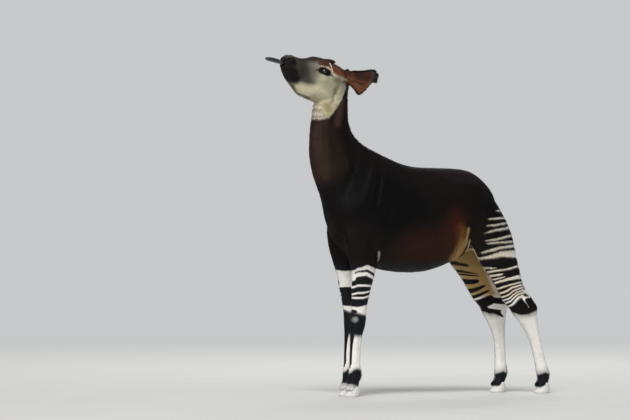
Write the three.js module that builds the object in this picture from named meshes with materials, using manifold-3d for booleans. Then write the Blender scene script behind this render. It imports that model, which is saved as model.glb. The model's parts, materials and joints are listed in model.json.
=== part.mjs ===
// An okapi standing with its head raised and its tongue out: a still, life-size model in millimetres.
// It faces -X, its left side lies toward -Y, +Z is up, and the eight hoof claws stand on z = 0.
import * as THREE from "three";
import { mergeVertices } from "three/addons/utils/BufferGeometryUtils.js";
import Module from "manifold-3d";

const wasm = await Module();
wasm.setup();

// Driving sizes
const GAP = 0.3; // between pieces that touch
const STEP_OFF = 1.5 * GAP; // how far a piece is moved away from the body it grows from
const WITHERS = 1539;
const CORONET = 58; // height at which a hoof claw begins
const EYE_RADIUS = 23;
const EAR_THICKNESS = 6;
const LEFT = -1; // the sign of y on the animal's left side
const RIGHT = 1;

// Points around a slice
const AROUND = { trunk: 32, head: 36, leg: 22, claw: 18, tongue: 14, tail: 12, ossicone: 12, lock: 5 };

// Materials
function skin(name, color, roughness) {
  return new THREE.MeshStandardMaterial({ name, color, roughness, metalness: 0 });
}
const coat = skin("coat", 0x2a1a16, 0.75);
const stripe = skin("leg_coat", 0xd8d0c4, 0.75);
const pale = skin("face_coat", 0xb9ad98, 0.75);
const horn = skin("hoof_horn", 0x4a4038, 0.55);
const wet = skin("tongue_skin", 0x2b2a38, 0.4);
const glossy = skin("eye", 0x120d0b, 0.1);

// Shape tools
// A value, or an array or record of values, between the rows of a table by a Catmull-Rom curve.
function blend(rows, t) {
  const i = Math.min(Math.floor(t), rows.length - 2);
  const near = [i - 1, i, i + 1, i + 2].map((k) => rows[THREE.MathUtils.clamp(k, 0, rows.length - 1)]);
  return mix(near, t - i);
}

function mix([a, b, c, d], f) {
  if (typeof b === "number") {
    return b + 0.5 * f * (c - a + f * (2 * a - 5 * b + 4 * c - d + f * (3 * (b - c) + d - a)));
  }
  if (Array.isArray(b)) {
    return b.map((_, k) => mix([a[k], b[k], c[k], d[k]], f));
  }
  return Object.fromEntries(Object.keys(b).map((k) => [k, mix([a[k], b[k], c[k], d[k]], f)]));
}

// Every row of a table with steps - 1 more between each two.
function filled(rows, steps) {
  const count = (rows.length - 1) * steps;
  return Array.from({ length: count + 1 }, (_, k) => blend(rows, k / steps));
}

function signedPower(value, power) {
  return Math.sign(value) * Math.abs(value) ** power;
}

// A closed skin over rings of equally many points, with a fan over each end.
function closedLoft(rings) {
  const around = rings[0].length;
  const points = rings.flat();
  const index = [];
  for (let r = 0; r + 1 < rings.length; r++) {
    for (let k = 0; k < around; k++) {
      const a = r * around + k;
      const b = r * around + ((k + 1) % around);
      index.push(a, b, a + around, b, b + around, a + around);
    }
  }
  for (const [first, turned] of [[0, true], [(rings.length - 1) * around, false]]) {
    const middle = new THREE.Vector3();
    for (let k = 0; k < around; k++) {
      middle.addScaledVector(points[first + k], 1 / around);
      const edge = [first + k, first + ((k + 1) % around)];
      index.push(points.length, ...(turned ? edge.reverse() : edge));
    }
    points.push(middle);
  }
  const geometry = new THREE.BufferGeometry().setFromPoints(points);
  geometry.setIndex(index);
  return facingOut(geometry);
}

function facingOut(geometry) {
  const position = geometry.getAttribute("position");
  const index = geometry.getIndex();
  const corner = [new THREE.Vector3(), new THREE.Vector3(), new THREE.Vector3()];
  let volume = 0;
  for (let i = 0; i < index.count; i += 3) {
    corner.forEach((p, k) => p.fromBufferAttribute(position, index.getX(i + k)));
    volume += corner[0].dot(corner[1].cross(corner[2]));
  }
  if (volume < 0) {
    for (let i = 0; i < index.count; i += 3) {
      const kept = index.getX(i);
      index.setX(i, index.getX(i + 1));
      index.setX(i + 1, kept);
    }
  }
  geometry.computeVertexNormals();
  return geometry;
}

// Pushes the surface out (or in) along its normals near each stroke, a line from one point to another.
function swell(geometry, strokes) {
  const position = geometry.getAttribute("position");
  const normal = geometry.getAttribute("normal");
  const point = new THREE.Vector3();
  const away = new THREE.Vector3();
  const nearest = new THREE.Vector3();
  for (const { from, to = from, reach, by } of strokes) {
    const line = new THREE.Line3(new THREE.Vector3(...from), new THREE.Vector3(...to));
    for (let i = 0; i < position.count; i++) {
      point.fromBufferAttribute(position, i);
      line.closestPointToPoint(point, true, nearest);
      const push = by * Math.exp(-(point.distanceToSquared(nearest) / reach ** 2));
      away.fromBufferAttribute(normal, i);
      point.addScaledVector(away, push);
      position.setXYZ(i, point.x, point.y, point.z);
    }
  }
  geometry.computeVertexNormals();
  return geometry;
}

function bothSides(strokes) {
  const turned = ([x, y, z]) => [x, -y, z];
  return strokes.flatMap((s) => [s, { ...s, from: turned(s.from), to: turned(s.to ?? s.from) }]);
}

// Solids
function solidOf(geometry) {
  const plain = geometry.clone();
  plain.deleteAttribute("normal");
  plain.deleteAttribute("uv");
  const merged = mergeVertices(plain, 1e-3);
  return new wasm.Manifold(
    new wasm.Mesh({
      numProp: 3,
      vertProperties: merged.getAttribute("position").array,
      triVerts: new Uint32Array(merged.getIndex().array),
    }),
  );
}

function largest(solid) {
  return solid.decompose().reduce((best, s) => (s.volume() > best.volume() ? s : best));
}

function join(solids) {
  return solids.reduce((all, s) => all.add(s));
}

// The two sides of a plane through a point: [the side its normal points to, the other], half a gap off each.
function parted(solid, through, normal) {
  const n = new THREE.Vector3(...normal).normalize();
  const offset = n.dot(new THREE.Vector3(...through));
  const ahead = solid.trimByPlane(n.toArray(), offset + GAP / 2);
  const behind = solid.trimByPlane(n.clone().negate().toArray(), GAP / 2 - offset);
  return [ahead, behind];
}

function meshOf(solid, name, material) {
  const { numProp, vertProperties, triVerts } = largest(solid).getMesh();
  const geometry = new THREE.BufferGeometry();
  const position = new Float32Array((vertProperties.length / numProp) * 3);
  for (let i = 0; i < position.length / 3; i++) {
    position.set(vertProperties.subarray(i * numProp, i * numProp + 3), i * 3);
  }
  geometry.setAttribute("position", new THREE.BufferAttribute(position, 3));
  geometry.setIndex(new THREE.BufferAttribute(new Uint32Array(triVerts), 1));
  geometry.computeVertexNormals();
  const mesh = new THREE.Mesh(geometry, material);
  mesh.name = name;
  return mesh;
}

// Trunk, neck and head: each row is one slice, from the back line to the throat, breast or belly line.
// at: [back x, back z, belly x, belly z]; half: half the width; widest: how far down the slice that is;
// upper and lower: the superellipse powers above and below the widest line.
const TRUNK = [
  { at: [-604, 2040, -780, 1960], half: 70, widest: 0.5, upper: 2, lower: 2 },
  { at: [-597, 1950, -828, 1868], half: 77, widest: 0.48, upper: 2, lower: 2 },
  { at: [-592, 1860, -844, 1800], half: 78, widest: 0.48, upper: 1.9, lower: 2 },
  { at: [-586, 1765, -862, 1720], half: 77, widest: 0.5, upper: 1.8, lower: 2 },
  { at: [-555, 1686, -869, 1630], half: 80, widest: 0.52, upper: 1.7, lower: 2 },
  { at: [-486, 1620, -866, 1530], half: 90, widest: 0.55, upper: 1.6, lower: 2.1 },
  { at: [-402, 1574, -834, 1405], half: 110, widest: 0.57, upper: 1.6, lower: 2.2 },
  { at: [-320, WITHERS, -782, 1285], half: 138, widest: 0.57, upper: 1.6, lower: 2.2 },
  { at: [-250, 1508, -742, 1165], half: 164, widest: 0.56, upper: 1.7, lower: 2.2 },
  { at: [-180, 1484, -700, 1040], half: 184, widest: 0.55, upper: 1.8, lower: 2.1 },
  { at: [-105, 1470, -605, 915], half: 200, widest: 0.54, upper: 1.9, lower: 2.1 },
  { at: [-30, 1465, -440, 828], half: 211, widest: 0.54, upper: 1.95, lower: 2.1 },
  { at: [50, 1463, -240, 789], half: 217, widest: 0.55, upper: 1.95, lower: 2.1 },
  { at: [130, 1460, -40, 792], half: 214, widest: 0.55, upper: 1.9, lower: 2.1 },
  { at: [210, 1455, 110, 840], half: 205, widest: 0.52, upper: 1.8, lower: 2.1 },
  { at: [280, 1441, 230, 890], half: 192, widest: 0.5, upper: 1.8, lower: 2 },
  { at: [345, 1404, 320, 945], half: 170, widest: 0.5, upper: 1.9, lower: 2 },
  { at: [408, 1342, 395, 1030], half: 132, widest: 0.5, upper: 2, lower: 2 },
  { at: [452, 1280, 448, 1130], half: 74, widest: 0.5, upper: 2, lower: 2 },
];

const HEAD = [
  { at: [-1066, 2152, -1064, 2112], half: 26, widest: 0.5, upper: 2.2, lower: 2.2 },
  { at: [-1058, 2176, -1048, 2060], half: 45, widest: 0.45, upper: 2.4, lower: 2.2 },
  { at: [-1034, 2191, -1022, 2018], half: 55, widest: 0.42, upper: 2.5, lower: 2.2 },
  { at: [-1004, 2193, -990, 1978], half: 57, widest: 0.4, upper: 2.4, lower: 2 },
  { at: [-970, 2180, -956, 1936], half: 54, widest: 0.42, upper: 2.2, lower: 2 },
  { at: [-930, 2170, -924, 1920], half: 56, widest: 0.42, upper: 2.2, lower: 2 },
  { at: [-888, 2171, -882, 1906], half: 66, widest: 0.4, upper: 2.3, lower: 1.9 },
  { at: [-842, 2181, -836, 1890], half: 80, widest: 0.36, upper: 2.5, lower: 1.8 },
  { at: [-796, 2173, -790, 1866], half: 90, widest: 0.34, upper: 2.5, lower: 1.8 },
  { at: [-748, 2160, -742, 1852], half: 91, widest: 0.36, upper: 2.3, lower: 1.9 },
  { at: [-700, 2138, -690, 1856], half: 86, widest: 0.4, upper: 2.1, lower: 2 },
  { at: [-652, 2116, -640, 1880], half: 76, widest: 0.45, upper: 2, lower: 2 },
  { at: [-616, 2090, -610, 1920], half: 56, widest: 0.48, upper: 2, lower: 2 },
  { at: [-594, 2050, -592, 1975], half: 32, widest: 0.5, upper: 2, lower: 2 },
];

// One slice of the trunk or head.
function slice({ at: [backX, backZ, bellyX, bellyZ], half, widest, upper, lower }, around) {
  const middleX = backX + (bellyX - backX) * widest;
  const middleZ = backZ + (bellyZ - backZ) * widest;
  return Array.from({ length: around }, (_, k) => {
    const angle = (2 * Math.PI * k) / around;
    const up = Math.cos(angle);
    const [endX, endZ, power] = up > 0 ? [backX, backZ, upper] : [bellyX, bellyZ, lower];
    const reach = Math.abs(up) ** (2 / power);
    const y = half * signedPower(Math.sin(angle), 2 / power);
    return new THREE.Vector3(middleX + (endX - middleX) * reach, y, middleZ + (endZ - middleZ) * reach);
  });
}

function sliced(table, steps, around) {
  return closedLoft(filled(table, steps).map((row) => slice(row, around)));
}

const TRUNK_FORMS = bothSides([
  { from: [-655, -120, 1170], reach: 75, by: 22 }, // point of the shoulder
  { from: [-400, -80, 1420], to: [-560, -140, 1200], reach: 85, by: 16 }, // shoulder blade
  { from: [-420, -170, 1080], to: [-520, -170, 980], reach: 90, by: 12 }, // upper arm
  { from: [-300, -170, 1180], to: [-330, -160, 950], reach: 60, by: -8 }, // hollow behind the shoulder
  { from: [235, -150, 1370], reach: 60, by: 14 }, // hip bone
  { from: [170, -190, 1120], to: [200, -190, 980], reach: 70, by: -12 }, // flank hollow
  { from: [-780, -50, 1500], to: [-700, -90, 1250], reach: 45, by: -7 }, // groove of the neck
]);

const HEAD_FORMS = bothSides([
  { from: [-812, -85, 2122], to: [-780, -88, 2112], reach: 26, by: 9 }, // brow
  { from: [-845, -80, 2060], reach: 34, by: -7 }, // hollow before the eye
  { from: [-900, -60, 2030], to: [-800, -88, 2030], reach: 22, by: 5 }, // cheek bone
  { from: [-745, -85, 1960], to: [-770, -80, 1920], reach: 55, by: 8 }, // jaw muscle
  { from: [-690, -80, 1960], reach: 34, by: -9 }, // groove behind the jaw
  { from: [-1030, -50, 2140], reach: 24, by: 6 }, // rim of the nostril
  { from: [-950, -52, 2060], reach: 36, by: -6 }, // hollow behind the muzzle
  { from: [-1000, -52, 2060], to: [-960, -50, 2010], reach: 22, by: 4 }, // lips
]);

// Legs: joints from the body down, then a profile shared by each pair.
// on: joint number plus the share of the way to the next; deep and wide: half sizes fore and aft and across;
// shift: how far the middle lies behind the straight line between the joints; egg: narrowing to the back.
const FORE_PROFILE = [
  { on: 0, deep: 110, wide: 34, shift: 0, egg: 0 },
  { on: 0.4, deep: 131, wide: 59, shift: -4, egg: 0 },
  { on: 0.75, deep: 120, wide: 66, shift: -2, egg: 0.05 },
  { on: 1, deep: 97, wide: 63, shift: 0, egg: 0.12 },
  { on: 1.24, deep: 82, wide: 56, shift: 8, egg: 0.12 },
  { on: 1.45, deep: 71, wide: 49, shift: 2, egg: 0.1 },
  { on: 1.7, deep: 58, wide: 43, shift: 0, egg: 0.05 },
  { on: 1.88, deep: 53, wide: 44, shift: 0, egg: 0 },
  { on: 2, deep: 55, wide: 49, shift: 0, egg: 0 },
  { on: 2.12, deep: 51, wide: 45, shift: 0, egg: 0 },
  { on: 2.28, deep: 41, wide: 36, shift: -5, egg: 0 },
  { on: 2.5, deep: 36, wide: 31, shift: -7, egg: 0 },
  { on: 2.8, deep: 36, wide: 32, shift: -4, egg: 0 },
  { on: 2.95, deep: 41, wide: 38, shift: -1, egg: 0 },
  { on: 3.1, deep: 43, wide: 41, shift: 2, egg: 0 },
  { on: 3.45, deep: 37, wide: 37, shift: 2, egg: 0 },
  { on: 3.8, deep: 40, wide: 41, shift: 0, egg: 0 },
  { on: 4, deep: 46, wide: 44, shift: 0, egg: 0 },
];

const HIND_PROFILE = [
  { on: 0, deep: 80, wide: 30, shift: 0, egg: 0 },
  { on: 0.25, deep: 130, wide: 64, shift: -4, egg: 0 },
  { on: 0.6, deep: 158, wide: 80, shift: -12, egg: 0.05 },
  { on: 0.9, deep: 155, wide: 78, shift: -4, egg: 0.1 },
  { on: 1.14, deep: 154, wide: 73, shift: -20, egg: 0.15 },
  { on: 1.32, deep: 141, wide: 67, shift: -33, egg: 0.2 },
  { on: 1.47, deep: 122, wide: 59, shift: -38, egg: 0.25 },
  { on: 1.61, deep: 102, wide: 52, shift: -35, egg: 0.3 },
  { on: 1.74, deep: 93, wide: 46, shift: -27, egg: 0.35 },
  { on: 1.88, deep: 93, wide: 42, shift: -10, egg: 0.4 },
  { on: 2, deep: 90, wide: 43, shift: 2, egg: 0.35 },
  { on: 2.1, deep: 74, wide: 42, shift: 2, egg: 0.25 },
  { on: 2.22, deep: 58, wide: 37, shift: 4, egg: 0.1 },
  { on: 2.36, deep: 48, wide: 33, shift: 5, egg: 0 },
  { on: 2.55, deep: 39, wide: 30, shift: 6, egg: 0 },
  { on: 2.8, deep: 38, wide: 31, shift: 3, egg: 0 },
  { on: 2.93, deep: 42, wide: 37, shift: 1, egg: 0 },
  { on: 3.1, deep: 44, wide: 40, shift: 2, egg: 0 },
  { on: 3.45, deep: 38, wide: 36, shift: 4, egg: 0 },
  { on: 3.8, deep: 41, wide: 40, shift: 0, egg: 0 },
  { on: 4, deep: 46, wide: 43, shift: 0, egg: 0 },
];

// Joints as [x, distance from the middle plane, z].
const LEGS = [
  {
    name: "fore_left",
    side: LEFT,
    profile: FORE_PROFILE,
    joints: [[-560, 118, 1180], [-533, 108, 864], [-564, 88, 493], [-584, 86, 141], [-606, 87, 50]],
    toe: -662,
  },
  {
    name: "fore_right",
    side: RIGHT,
    profile: FORE_PROFILE,
    joints: [[-560, 118, 1180], [-546, 108, 864], [-515, 88, 493], [-536, 86, 141], [-558, 87, 50]],
    toe: -612,
  },
  {
    name: "hind_left",
    side: LEFT,
    profile: HIND_PROFILE,
    joints: [[285, 108, 1300], [392, 134, 1000], [603, 129, 570], [762, 127, 130], [756, 128, 50]],
    toe: 700,
  },
  {
    name: "hind_right",
    side: RIGHT,
    profile: HIND_PROFILE,
    joints: [[285, 108, 1300], [302, 134, 1000], [530, 129, 570], [589, 127, 130], [570, 128, 50]],
    toe: 512,
  },
];

function legRing({ joints, side }, { on, deep, wide, shift, egg }) {
  const first = Math.min(Math.floor(on), joints.length - 2);
  const share = on - first;
  const [x, out, z] = joints[first].map((v, k) => v + (joints[first + 1][k] - v) * share);
  return Array.from({ length: AROUND.leg }, (_, k) => {
    const angle = (2 * Math.PI * k) / AROUND.leg;
    const back = Math.cos(angle);
    const width = wide * (1 - egg * back * (back > 0 ? 1 : 0.4));
    return new THREE.Vector3(x + shift + deep * back, side * out + width * Math.sin(angle), z);
  });
}

function legSolid(leg) {
  return solidOf(closedLoft(leg.profile.map((row) => legRing(leg, row))));
}

// A claw of the hoof: flat on its inner side and sole, pointed at the toe.
const CLAW_LEVELS = [
  { z: 0, toe: 0, heel: 98, width: 42 },
  { z: 6, toe: 0, heel: 103, width: 44 },
  { z: 34, toe: 17, heel: 105, width: 45 },
  { z: 62, toe: 36, heel: 101, width: 43 },
  { z: 84, toe: 50, heel: 94, width: 40 },
];
const CLEFT = 2.5; // half the gap between the two claws
const TOE_TAPER = 0.42; // how much narrower a claw is at its toe than halfway along

function clawSolid({ joints, side, toe }, inward) {
  const out = joints.at(-1)[1];
  const rings = CLAW_LEVELS.map((level) => {
    const middle = toe + (level.toe + level.heel) / 2;
    const half = (level.heel - level.toe) / 2;
    return Array.from({ length: AROUND.claw }, (_, k) => {
      const angle = (2 * Math.PI * k) / AROUND.claw;
      const forward = Math.max(0, -Math.cos(angle));
      const outer = Math.max(0, Math.sin(angle)) ** 0.75 * level.width * (1 - TOE_TAPER * forward);
      const hollow = 1.5 * (1 + Math.min(0, Math.sin(angle)));
      const y = out - inward * (CLEFT + outer + hollow);
      return new THREE.Vector3(middle + half * Math.cos(angle), side * y, level.z);
    });
  });
  return solidOf(closedLoft(rings));
}

// Ears: a cupped leaf, broad at its end. along runs from the root to the end, across from low to high.
const EAR = {
  root: [-640, 66, 2052],
  along: [0.62, 0.74, -0.2],
  across: [0.42, -0.28, 0.86],
  length: 212,
  cup: 30,
};

// Half width of the ear above and below its middle line, by the share of its length.
const EAR_EDGE = [
  { high: 36, low: 30 },
  { high: 43, low: 50 },
  { high: 50, low: 66 },
  { high: 58, low: 89 },
  { high: 69, low: 112 },
  { high: 84, low: 76 },
  { high: 88, low: 14 },
  { high: 62, low: -34 },
];

function earSolid(side) {
  const flip = new THREE.Vector3(1, side, 1);
  const along = new THREE.Vector3(...EAR.along).multiply(flip).normalize();
  const across = new THREE.Vector3(...EAR.across).multiply(flip).normalize();
  const outward = new THREE.Vector3().crossVectors(along, across).normalize().multiplyScalar(-side);
  const rows = filled(EAR_EDGE, 2);
  const columns = 7;
  const rings = rows.map(({ high, low }, r) => {
    const share = r / (rows.length - 1);
    const point = (t, lift) => {
      const y = t > 0 ? t * high : t * low;
      const hollow = EAR.cup * Math.sin(Math.PI * Math.min(1, 0.25 + share)) ** 0.7 * (t * t - 0.75);
      return new THREE.Vector3(...EAR.root)
        .multiply(flip)
        .addScaledVector(along, EAR.length * share)
        .addScaledVector(across, y)
        .addScaledVector(outward, hollow + lift);
    };
    const shares = Array.from({ length: columns + 1 }, (_, k) => (2 * k) / columns - 1);
    const rim = (t) => (EAR_THICKNESS / 2) * (Math.abs(t) > 0.99 ? 0.5 : 1);
    const inner = shares.map((t) => point(t, rim(t)));
    const outer = shares.map((t) => point(t, -rim(t))).reverse();
    return [...inner, ...outer];
  });
  return solidOf(closedLoft(rings));
}

// A round tube through rows of { at: [x, y, z], high, wide }, along its own path.
function tube(rows, steps, around) {
  const path = filled(rows, steps);
  const rings = path.map(({ at, high, wide }, k) => {
    const before = new THREE.Vector3(...path[Math.max(0, k - 1)].at);
    const after = new THREE.Vector3(...path[Math.min(path.length - 1, k + 1)].at);
    const ahead = after.sub(before).normalize();
    const side = new THREE.Vector3(0, 1, 0);
    const up = new THREE.Vector3().crossVectors(side, ahead).normalize();
    const level = new THREE.Vector3().crossVectors(ahead, up);
    return Array.from({ length: around }, (_, n) => {
      const angle = (2 * Math.PI * n) / around;
      return new THREE.Vector3(...at)
        .addScaledVector(up, high * Math.sin(angle))
        .addScaledVector(level, wide * Math.cos(angle));
    });
  });
  return solidOf(closedLoft(rings));
}

const TONGUE = [
  { at: [-985, 0, 2118], high: 9, wide: 20 },
  { at: [-1042, 0, 2134], high: 10, wide: 21 },
  { at: [-1080, 0, 2147], high: 15, wide: 19.5 },
  { at: [-1130, 0, 2160], high: 15.5, wide: 17 },
  { at: [-1170, 0, 2167], high: 11.5, wide: 12 },
  { at: [-1182, 0, 2168.5], high: 5, wide: 6 },
];

const TAIL = [
  { at: [396, 0, 1300], high: 22, wide: 26 },
  { at: [440, 0, 1262], high: 22, wide: 25 },
  { at: [470, 2, 1195], high: 18, wide: 21 },
  { at: [483, 4, 1120], high: 15, wide: 17 },
  { at: [489, 6, 1050], high: 13, wide: 14 },
  { at: [491, 8, 985], high: 11, wide: 11 },
  { at: [491, 8, 940], high: 8, wide: 8 },
];

const OSSICONE = [
  { at: [-796, 40, 2140], high: 20, wide: 20 },
  { at: [-770, 42, 2148], high: 18, wide: 18 },
  { at: [-735, 44, 2147], high: 14, wide: 14 },
  { at: [-712, 45, 2142], high: 9, wide: 9 },
  { at: [-705, 45, 2140], high: 4, wide: 4 },
];

// Eyes, lids, nostrils and mouth
const EYE = { at: [-801, 77, 2083], tilt: 0.4 };
const LID = { radius: 26, thick: 6, long: 1.25, high: 0.78, outward: 11 };
const MOUTH = { open: 7, closed: 1.4, across: 160 };

function ball([x, y, z], radius) {
  const geometry = new THREE.SphereGeometry(radius, 16, 10);
  geometry.translate(x, y, z);
  return solidOf(geometry);
}

function lidSolid(side) {
  const geometry = new THREE.TorusGeometry(LID.radius, LID.thick, 7, 22);
  geometry.scale(LID.long, LID.high, 1);
  geometry.rotateX(Math.PI / 2);
  geometry.rotateY(EYE.tilt);
  const [x, y, z] = EYE.at;
  geometry.rotateZ(side * 0.12);
  geometry.translate(x, side * (y + LID.outward), z);
  return solidOf(geometry);
}

// The gap between the lips: a thin curved blade through the muzzle, wider where the tongue leaves it.
function mouthCut() {
  const line = new THREE.CatmullRomCurve3([
    new THREE.Vector3(-1085, 2142, 0),
    new THREE.Vector3(-1050, 2128, 0),
    new THREE.Vector3(-1010, 2102, 0),
    new THREE.Vector3(-975, 2070, 0),
    new THREE.Vector3(-948, 2040, 0),
  ]);
  const places = line.getPoints(12);
  const open = places.map((_, k) => THREE.MathUtils.lerp(MOUTH.open, MOUTH.closed, Math.min(1, k / 8)));
  const upper = places.map((p, k) => new THREE.Vector2(p.x, p.y + open[k]));
  const lower = places.map((p, k) => new THREE.Vector2(p.x, p.y - open[k])).reverse();
  const geometry = new THREE.ExtrudeGeometry(new THREE.Shape([...upper, ...lower]), {
    depth: MOUTH.across,
    bevelEnabled: false,
  });
  geometry.translate(0, 0, -MOUTH.across / 2);
  geometry.rotateX(Math.PI / 2);
  return solidOf(geometry);
}

function nostrilCut(side) {
  const geometry = new THREE.SphereGeometry(1, 14, 10);
  geometry.scale(17, 16, 5.5);
  geometry.rotateY(-0.55);
  geometry.rotateZ(side * 0.35);
  geometry.translate(-1036, side * 50, 2158);
  return solidOf(geometry);
}

// Tuft of the tail: tapered locks around its end.
function lock(root, tip, width) {
  const middle = root.clone().lerp(tip, 0.5).add(new THREE.Vector3(width * 0.4, 0, 0));
  return tube(
    [
      { at: root.toArray(), high: width * 0.35, wide: width * 0.5 },
      { at: middle.toArray(), high: width * 0.4, wide: width * 0.6 },
      { at: tip.toArray(), high: 1.2, wide: 1.2 },
    ],
    1,
    AROUND.lock,
  );
}

const TUFT_START = [491, 8, 1000];
const TUFT_LOCKS = 12;

function tuftLocks() {
  const [endX, endY, endZ] = TAIL.at(-1).at;
  let seed = 7;
  const draw = () => {
    seed = (seed * 16807) % 2147483647;
    return seed / 2147483647;
  };
  return Array.from({ length: TUFT_LOCKS }, (_, k) => {
    const angle = (2 * Math.PI * k) / TUFT_LOCKS;
    const root = new THREE.Vector3(endX + 5 * Math.cos(angle), endY + 5 * Math.sin(angle), endZ + 20 + 40 * draw());
    const spread = 12 + 12 * draw();
    const fall = 90 + 70 * draw();
    const tip = new THREE.Vector3(
      root.x + spread * Math.cos(angle),
      root.y + spread * Math.sin(angle),
      root.z - fall,
    );
    return lock(root, tip, 16);
  });
}

// The space of one leg below the trunk: its top is a plane through (x, 0, z) that rises to the side.
const FORE_ZONE = { from: -900, to: -360, through: [-540, 836], rise: -0.3, outward: 0.55 };
const HIND_ZONE = { from: 100, to: 1000, through: [350, 850], rise: 0.8, outward: 0.8 };

function zoneOf({ from, to, through, rise, outward }, side) {
  const corners = [[from, 0], [to, 0], [to, 400], [from, 400]];
  const top = (x, y) => through[1] + rise * (x - through[0]) + outward * y;
  const ring = (height) => corners.map(([x, y]) => new THREE.Vector3(x, side * y, height(x, y)));
  return solidOf(closedLoft([ring(() => -50), ring(top)]));
}

// Assembly
const group = new THREE.Group();

function add(solid, name, material) {
  group.add(meshOf(solid, name, material));
}

// A piece that grows from a body: what the body doesn't hold, moved a gap away from it.
function grown(piece, body, [x, y, z]) {
  const way = new THREE.Vector3(x, y, z).normalize().multiplyScalar(STEP_OFF);
  return largest(piece.subtract(body)).translate(way.toArray());
}

const trunk = solidOf(swell(sliced(TRUNK, 2, AROUND.trunk), TRUNK_FORMS));
const skull = solidOf(swell(sliced(HEAD, 2, AROUND.head), HEAD_FORMS));
const cuts = [mouthCut(), nostrilCut(LEFT), nostrilCut(RIGHT)];
const lids = [lidSolid(LEFT), lidSolid(RIGHT)];
const eyes = [LEFT, RIGHT].map((side) => {
  const [x, y, z] = EYE.at;
  return { side, ball: ball([x, side * y, z], EYE_RADIUS), socket: ball([x, side * y, z], EYE_RADIUS + STEP_OFF) };
});
let body = join([trunk, skull, ...lids, ...LEGS.map(legSolid)]);
for (const cut of [...cuts, ...eyes.map((e) => e.socket)]) {
  body = body.subtract(cut);
}
body = largest(body);

const tongue = tube(TONGUE, 2, AROUND.tongue);
add(grown(tongue, body, [-1, 0, 0.2]), "tongue", wet);
for (const { side, ball: eyeball } of eyes) {
  add(eyeball, side === LEFT ? "eye_left" : "eye_right", glossy);
}
for (const side of [LEFT, RIGHT]) {
  const word = side === LEFT ? "left" : "right";
  const turned = OSSICONE.map((row) => ({ ...row, at: [row.at[0], side * row.at[1], row.at[2]] }));
  add(grown(tube(turned, 2, AROUND.ossicone), body, [0.2, 0, 1]), `ossicone_${word}`, coat);
  const away = [EAR.along[0], side * EAR.along[1], 0.1];
  add(grown(earSolid(side), body, away), `ear_${word}`, coat);
}
const dock = grown(tube(TAIL, 2, AROUND.tail), body, [1, 0, 0]);
const [tailSolid, tip] = parted(dock, TUFT_START, [0, 0, 1]);
add(tailSolid, "tail", coat);
const locks = join(tuftLocks()).trimByPlane([0, 0, -1], GAP / 2 - TUFT_START[2]);
add(join([tip, locks]), "tail_tuft", coat);

// Head and neck come off behind the jaw, the neck comes off before the shoulders.
const [withoutHead, headSolid] = parted(body, [-700, 0, 1905], [0.62, 0, -0.78]);
add(headSolid, "head", pale);
const [withoutNeck, neckSolid] = parted(withoutHead, [-600, 0, 1450], [0.72, 0, -0.7]);
add(neckSolid, "neck", coat);

let torso = withoutNeck;
for (const leg of LEGS) {
  const reach = leg.name.startsWith("fore") ? FORE_ZONE : HIND_ZONE;
  const zone = zoneOf(reach, leg.side);
  const limb = largest(torso.intersect(zone.translate([0, 0, -STEP_OFF])));
  torso = torso.subtract(zone);
  const [, , knee, fetlock, ankle] = leg.joints;
  const lean = (fetlock[0] - knee[0]) / (fetlock[2] - knee[2]);
  const [lower, upper] = parted(limb, [knee[0], 0, knee[2] - 8], [-lean, 0, -1]);
  const [foot, cannon] = parted(lower, [fetlock[0], 0, fetlock[2] + 22], [-lean, 0, -1]);
  const coronet = [[ankle[0], 0, CORONET], [0.32, 0, -1]];
  const pastern = parted(foot, ...coronet)[1];
  add(upper, `${leg.name}_upper`, stripe);
  add(cannon, `${leg.name}_cannon`, stripe);
  add(pastern, `${leg.name}_pastern`, stripe);
  for (const [word, inward] of [["inner", 1], ["outer", -1]]) {
    add(parted(clawSolid(leg, inward), ...coronet)[0], `${leg.name}_hoof_${word}`, horn);
  }
}
add(torso, "torso", coat);

const box = new THREE.Box3().setFromObject(group);
const middle = box.getCenter(new THREE.Vector3());
group.position.set(-middle.x, -middle.y, -box.min.z);

export default group;
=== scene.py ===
"""An okapi, still and life-size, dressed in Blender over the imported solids.

It stands with its head raised and its tongue out. The animal faces -X, its left side lies toward
-Y and +Z is up. Sizes inside the classes are millimetres in the animal's own frame, whose x starts
at the middle of the body; `Own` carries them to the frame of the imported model, in metres.
"""

import json
import logging
import math
from dataclasses import dataclass, field
from enum import Enum

import bmesh
import bpy
import numpy as np
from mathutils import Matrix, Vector
from mathutils.bvhtree import BVHTree

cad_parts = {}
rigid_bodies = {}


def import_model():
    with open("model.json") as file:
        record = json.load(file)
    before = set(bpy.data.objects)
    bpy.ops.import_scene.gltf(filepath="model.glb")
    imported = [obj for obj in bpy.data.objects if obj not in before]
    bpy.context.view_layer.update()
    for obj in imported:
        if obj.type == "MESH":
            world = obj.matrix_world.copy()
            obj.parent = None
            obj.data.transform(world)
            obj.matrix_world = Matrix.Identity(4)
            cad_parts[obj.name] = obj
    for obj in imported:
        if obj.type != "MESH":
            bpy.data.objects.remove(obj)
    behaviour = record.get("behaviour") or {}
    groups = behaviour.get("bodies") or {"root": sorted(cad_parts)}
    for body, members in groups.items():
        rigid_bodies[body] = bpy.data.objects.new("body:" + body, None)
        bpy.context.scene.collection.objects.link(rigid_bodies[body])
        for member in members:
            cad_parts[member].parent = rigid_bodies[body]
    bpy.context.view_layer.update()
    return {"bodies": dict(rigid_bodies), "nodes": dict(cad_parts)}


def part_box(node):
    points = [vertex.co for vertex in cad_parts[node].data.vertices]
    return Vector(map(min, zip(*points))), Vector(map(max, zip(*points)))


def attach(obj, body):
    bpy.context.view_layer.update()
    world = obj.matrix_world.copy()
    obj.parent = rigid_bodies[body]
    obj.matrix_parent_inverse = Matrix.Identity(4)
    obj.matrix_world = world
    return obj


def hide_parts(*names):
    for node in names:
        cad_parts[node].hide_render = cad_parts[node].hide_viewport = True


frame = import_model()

Array = np.ndarray
Pair = tuple[float, float]
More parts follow.
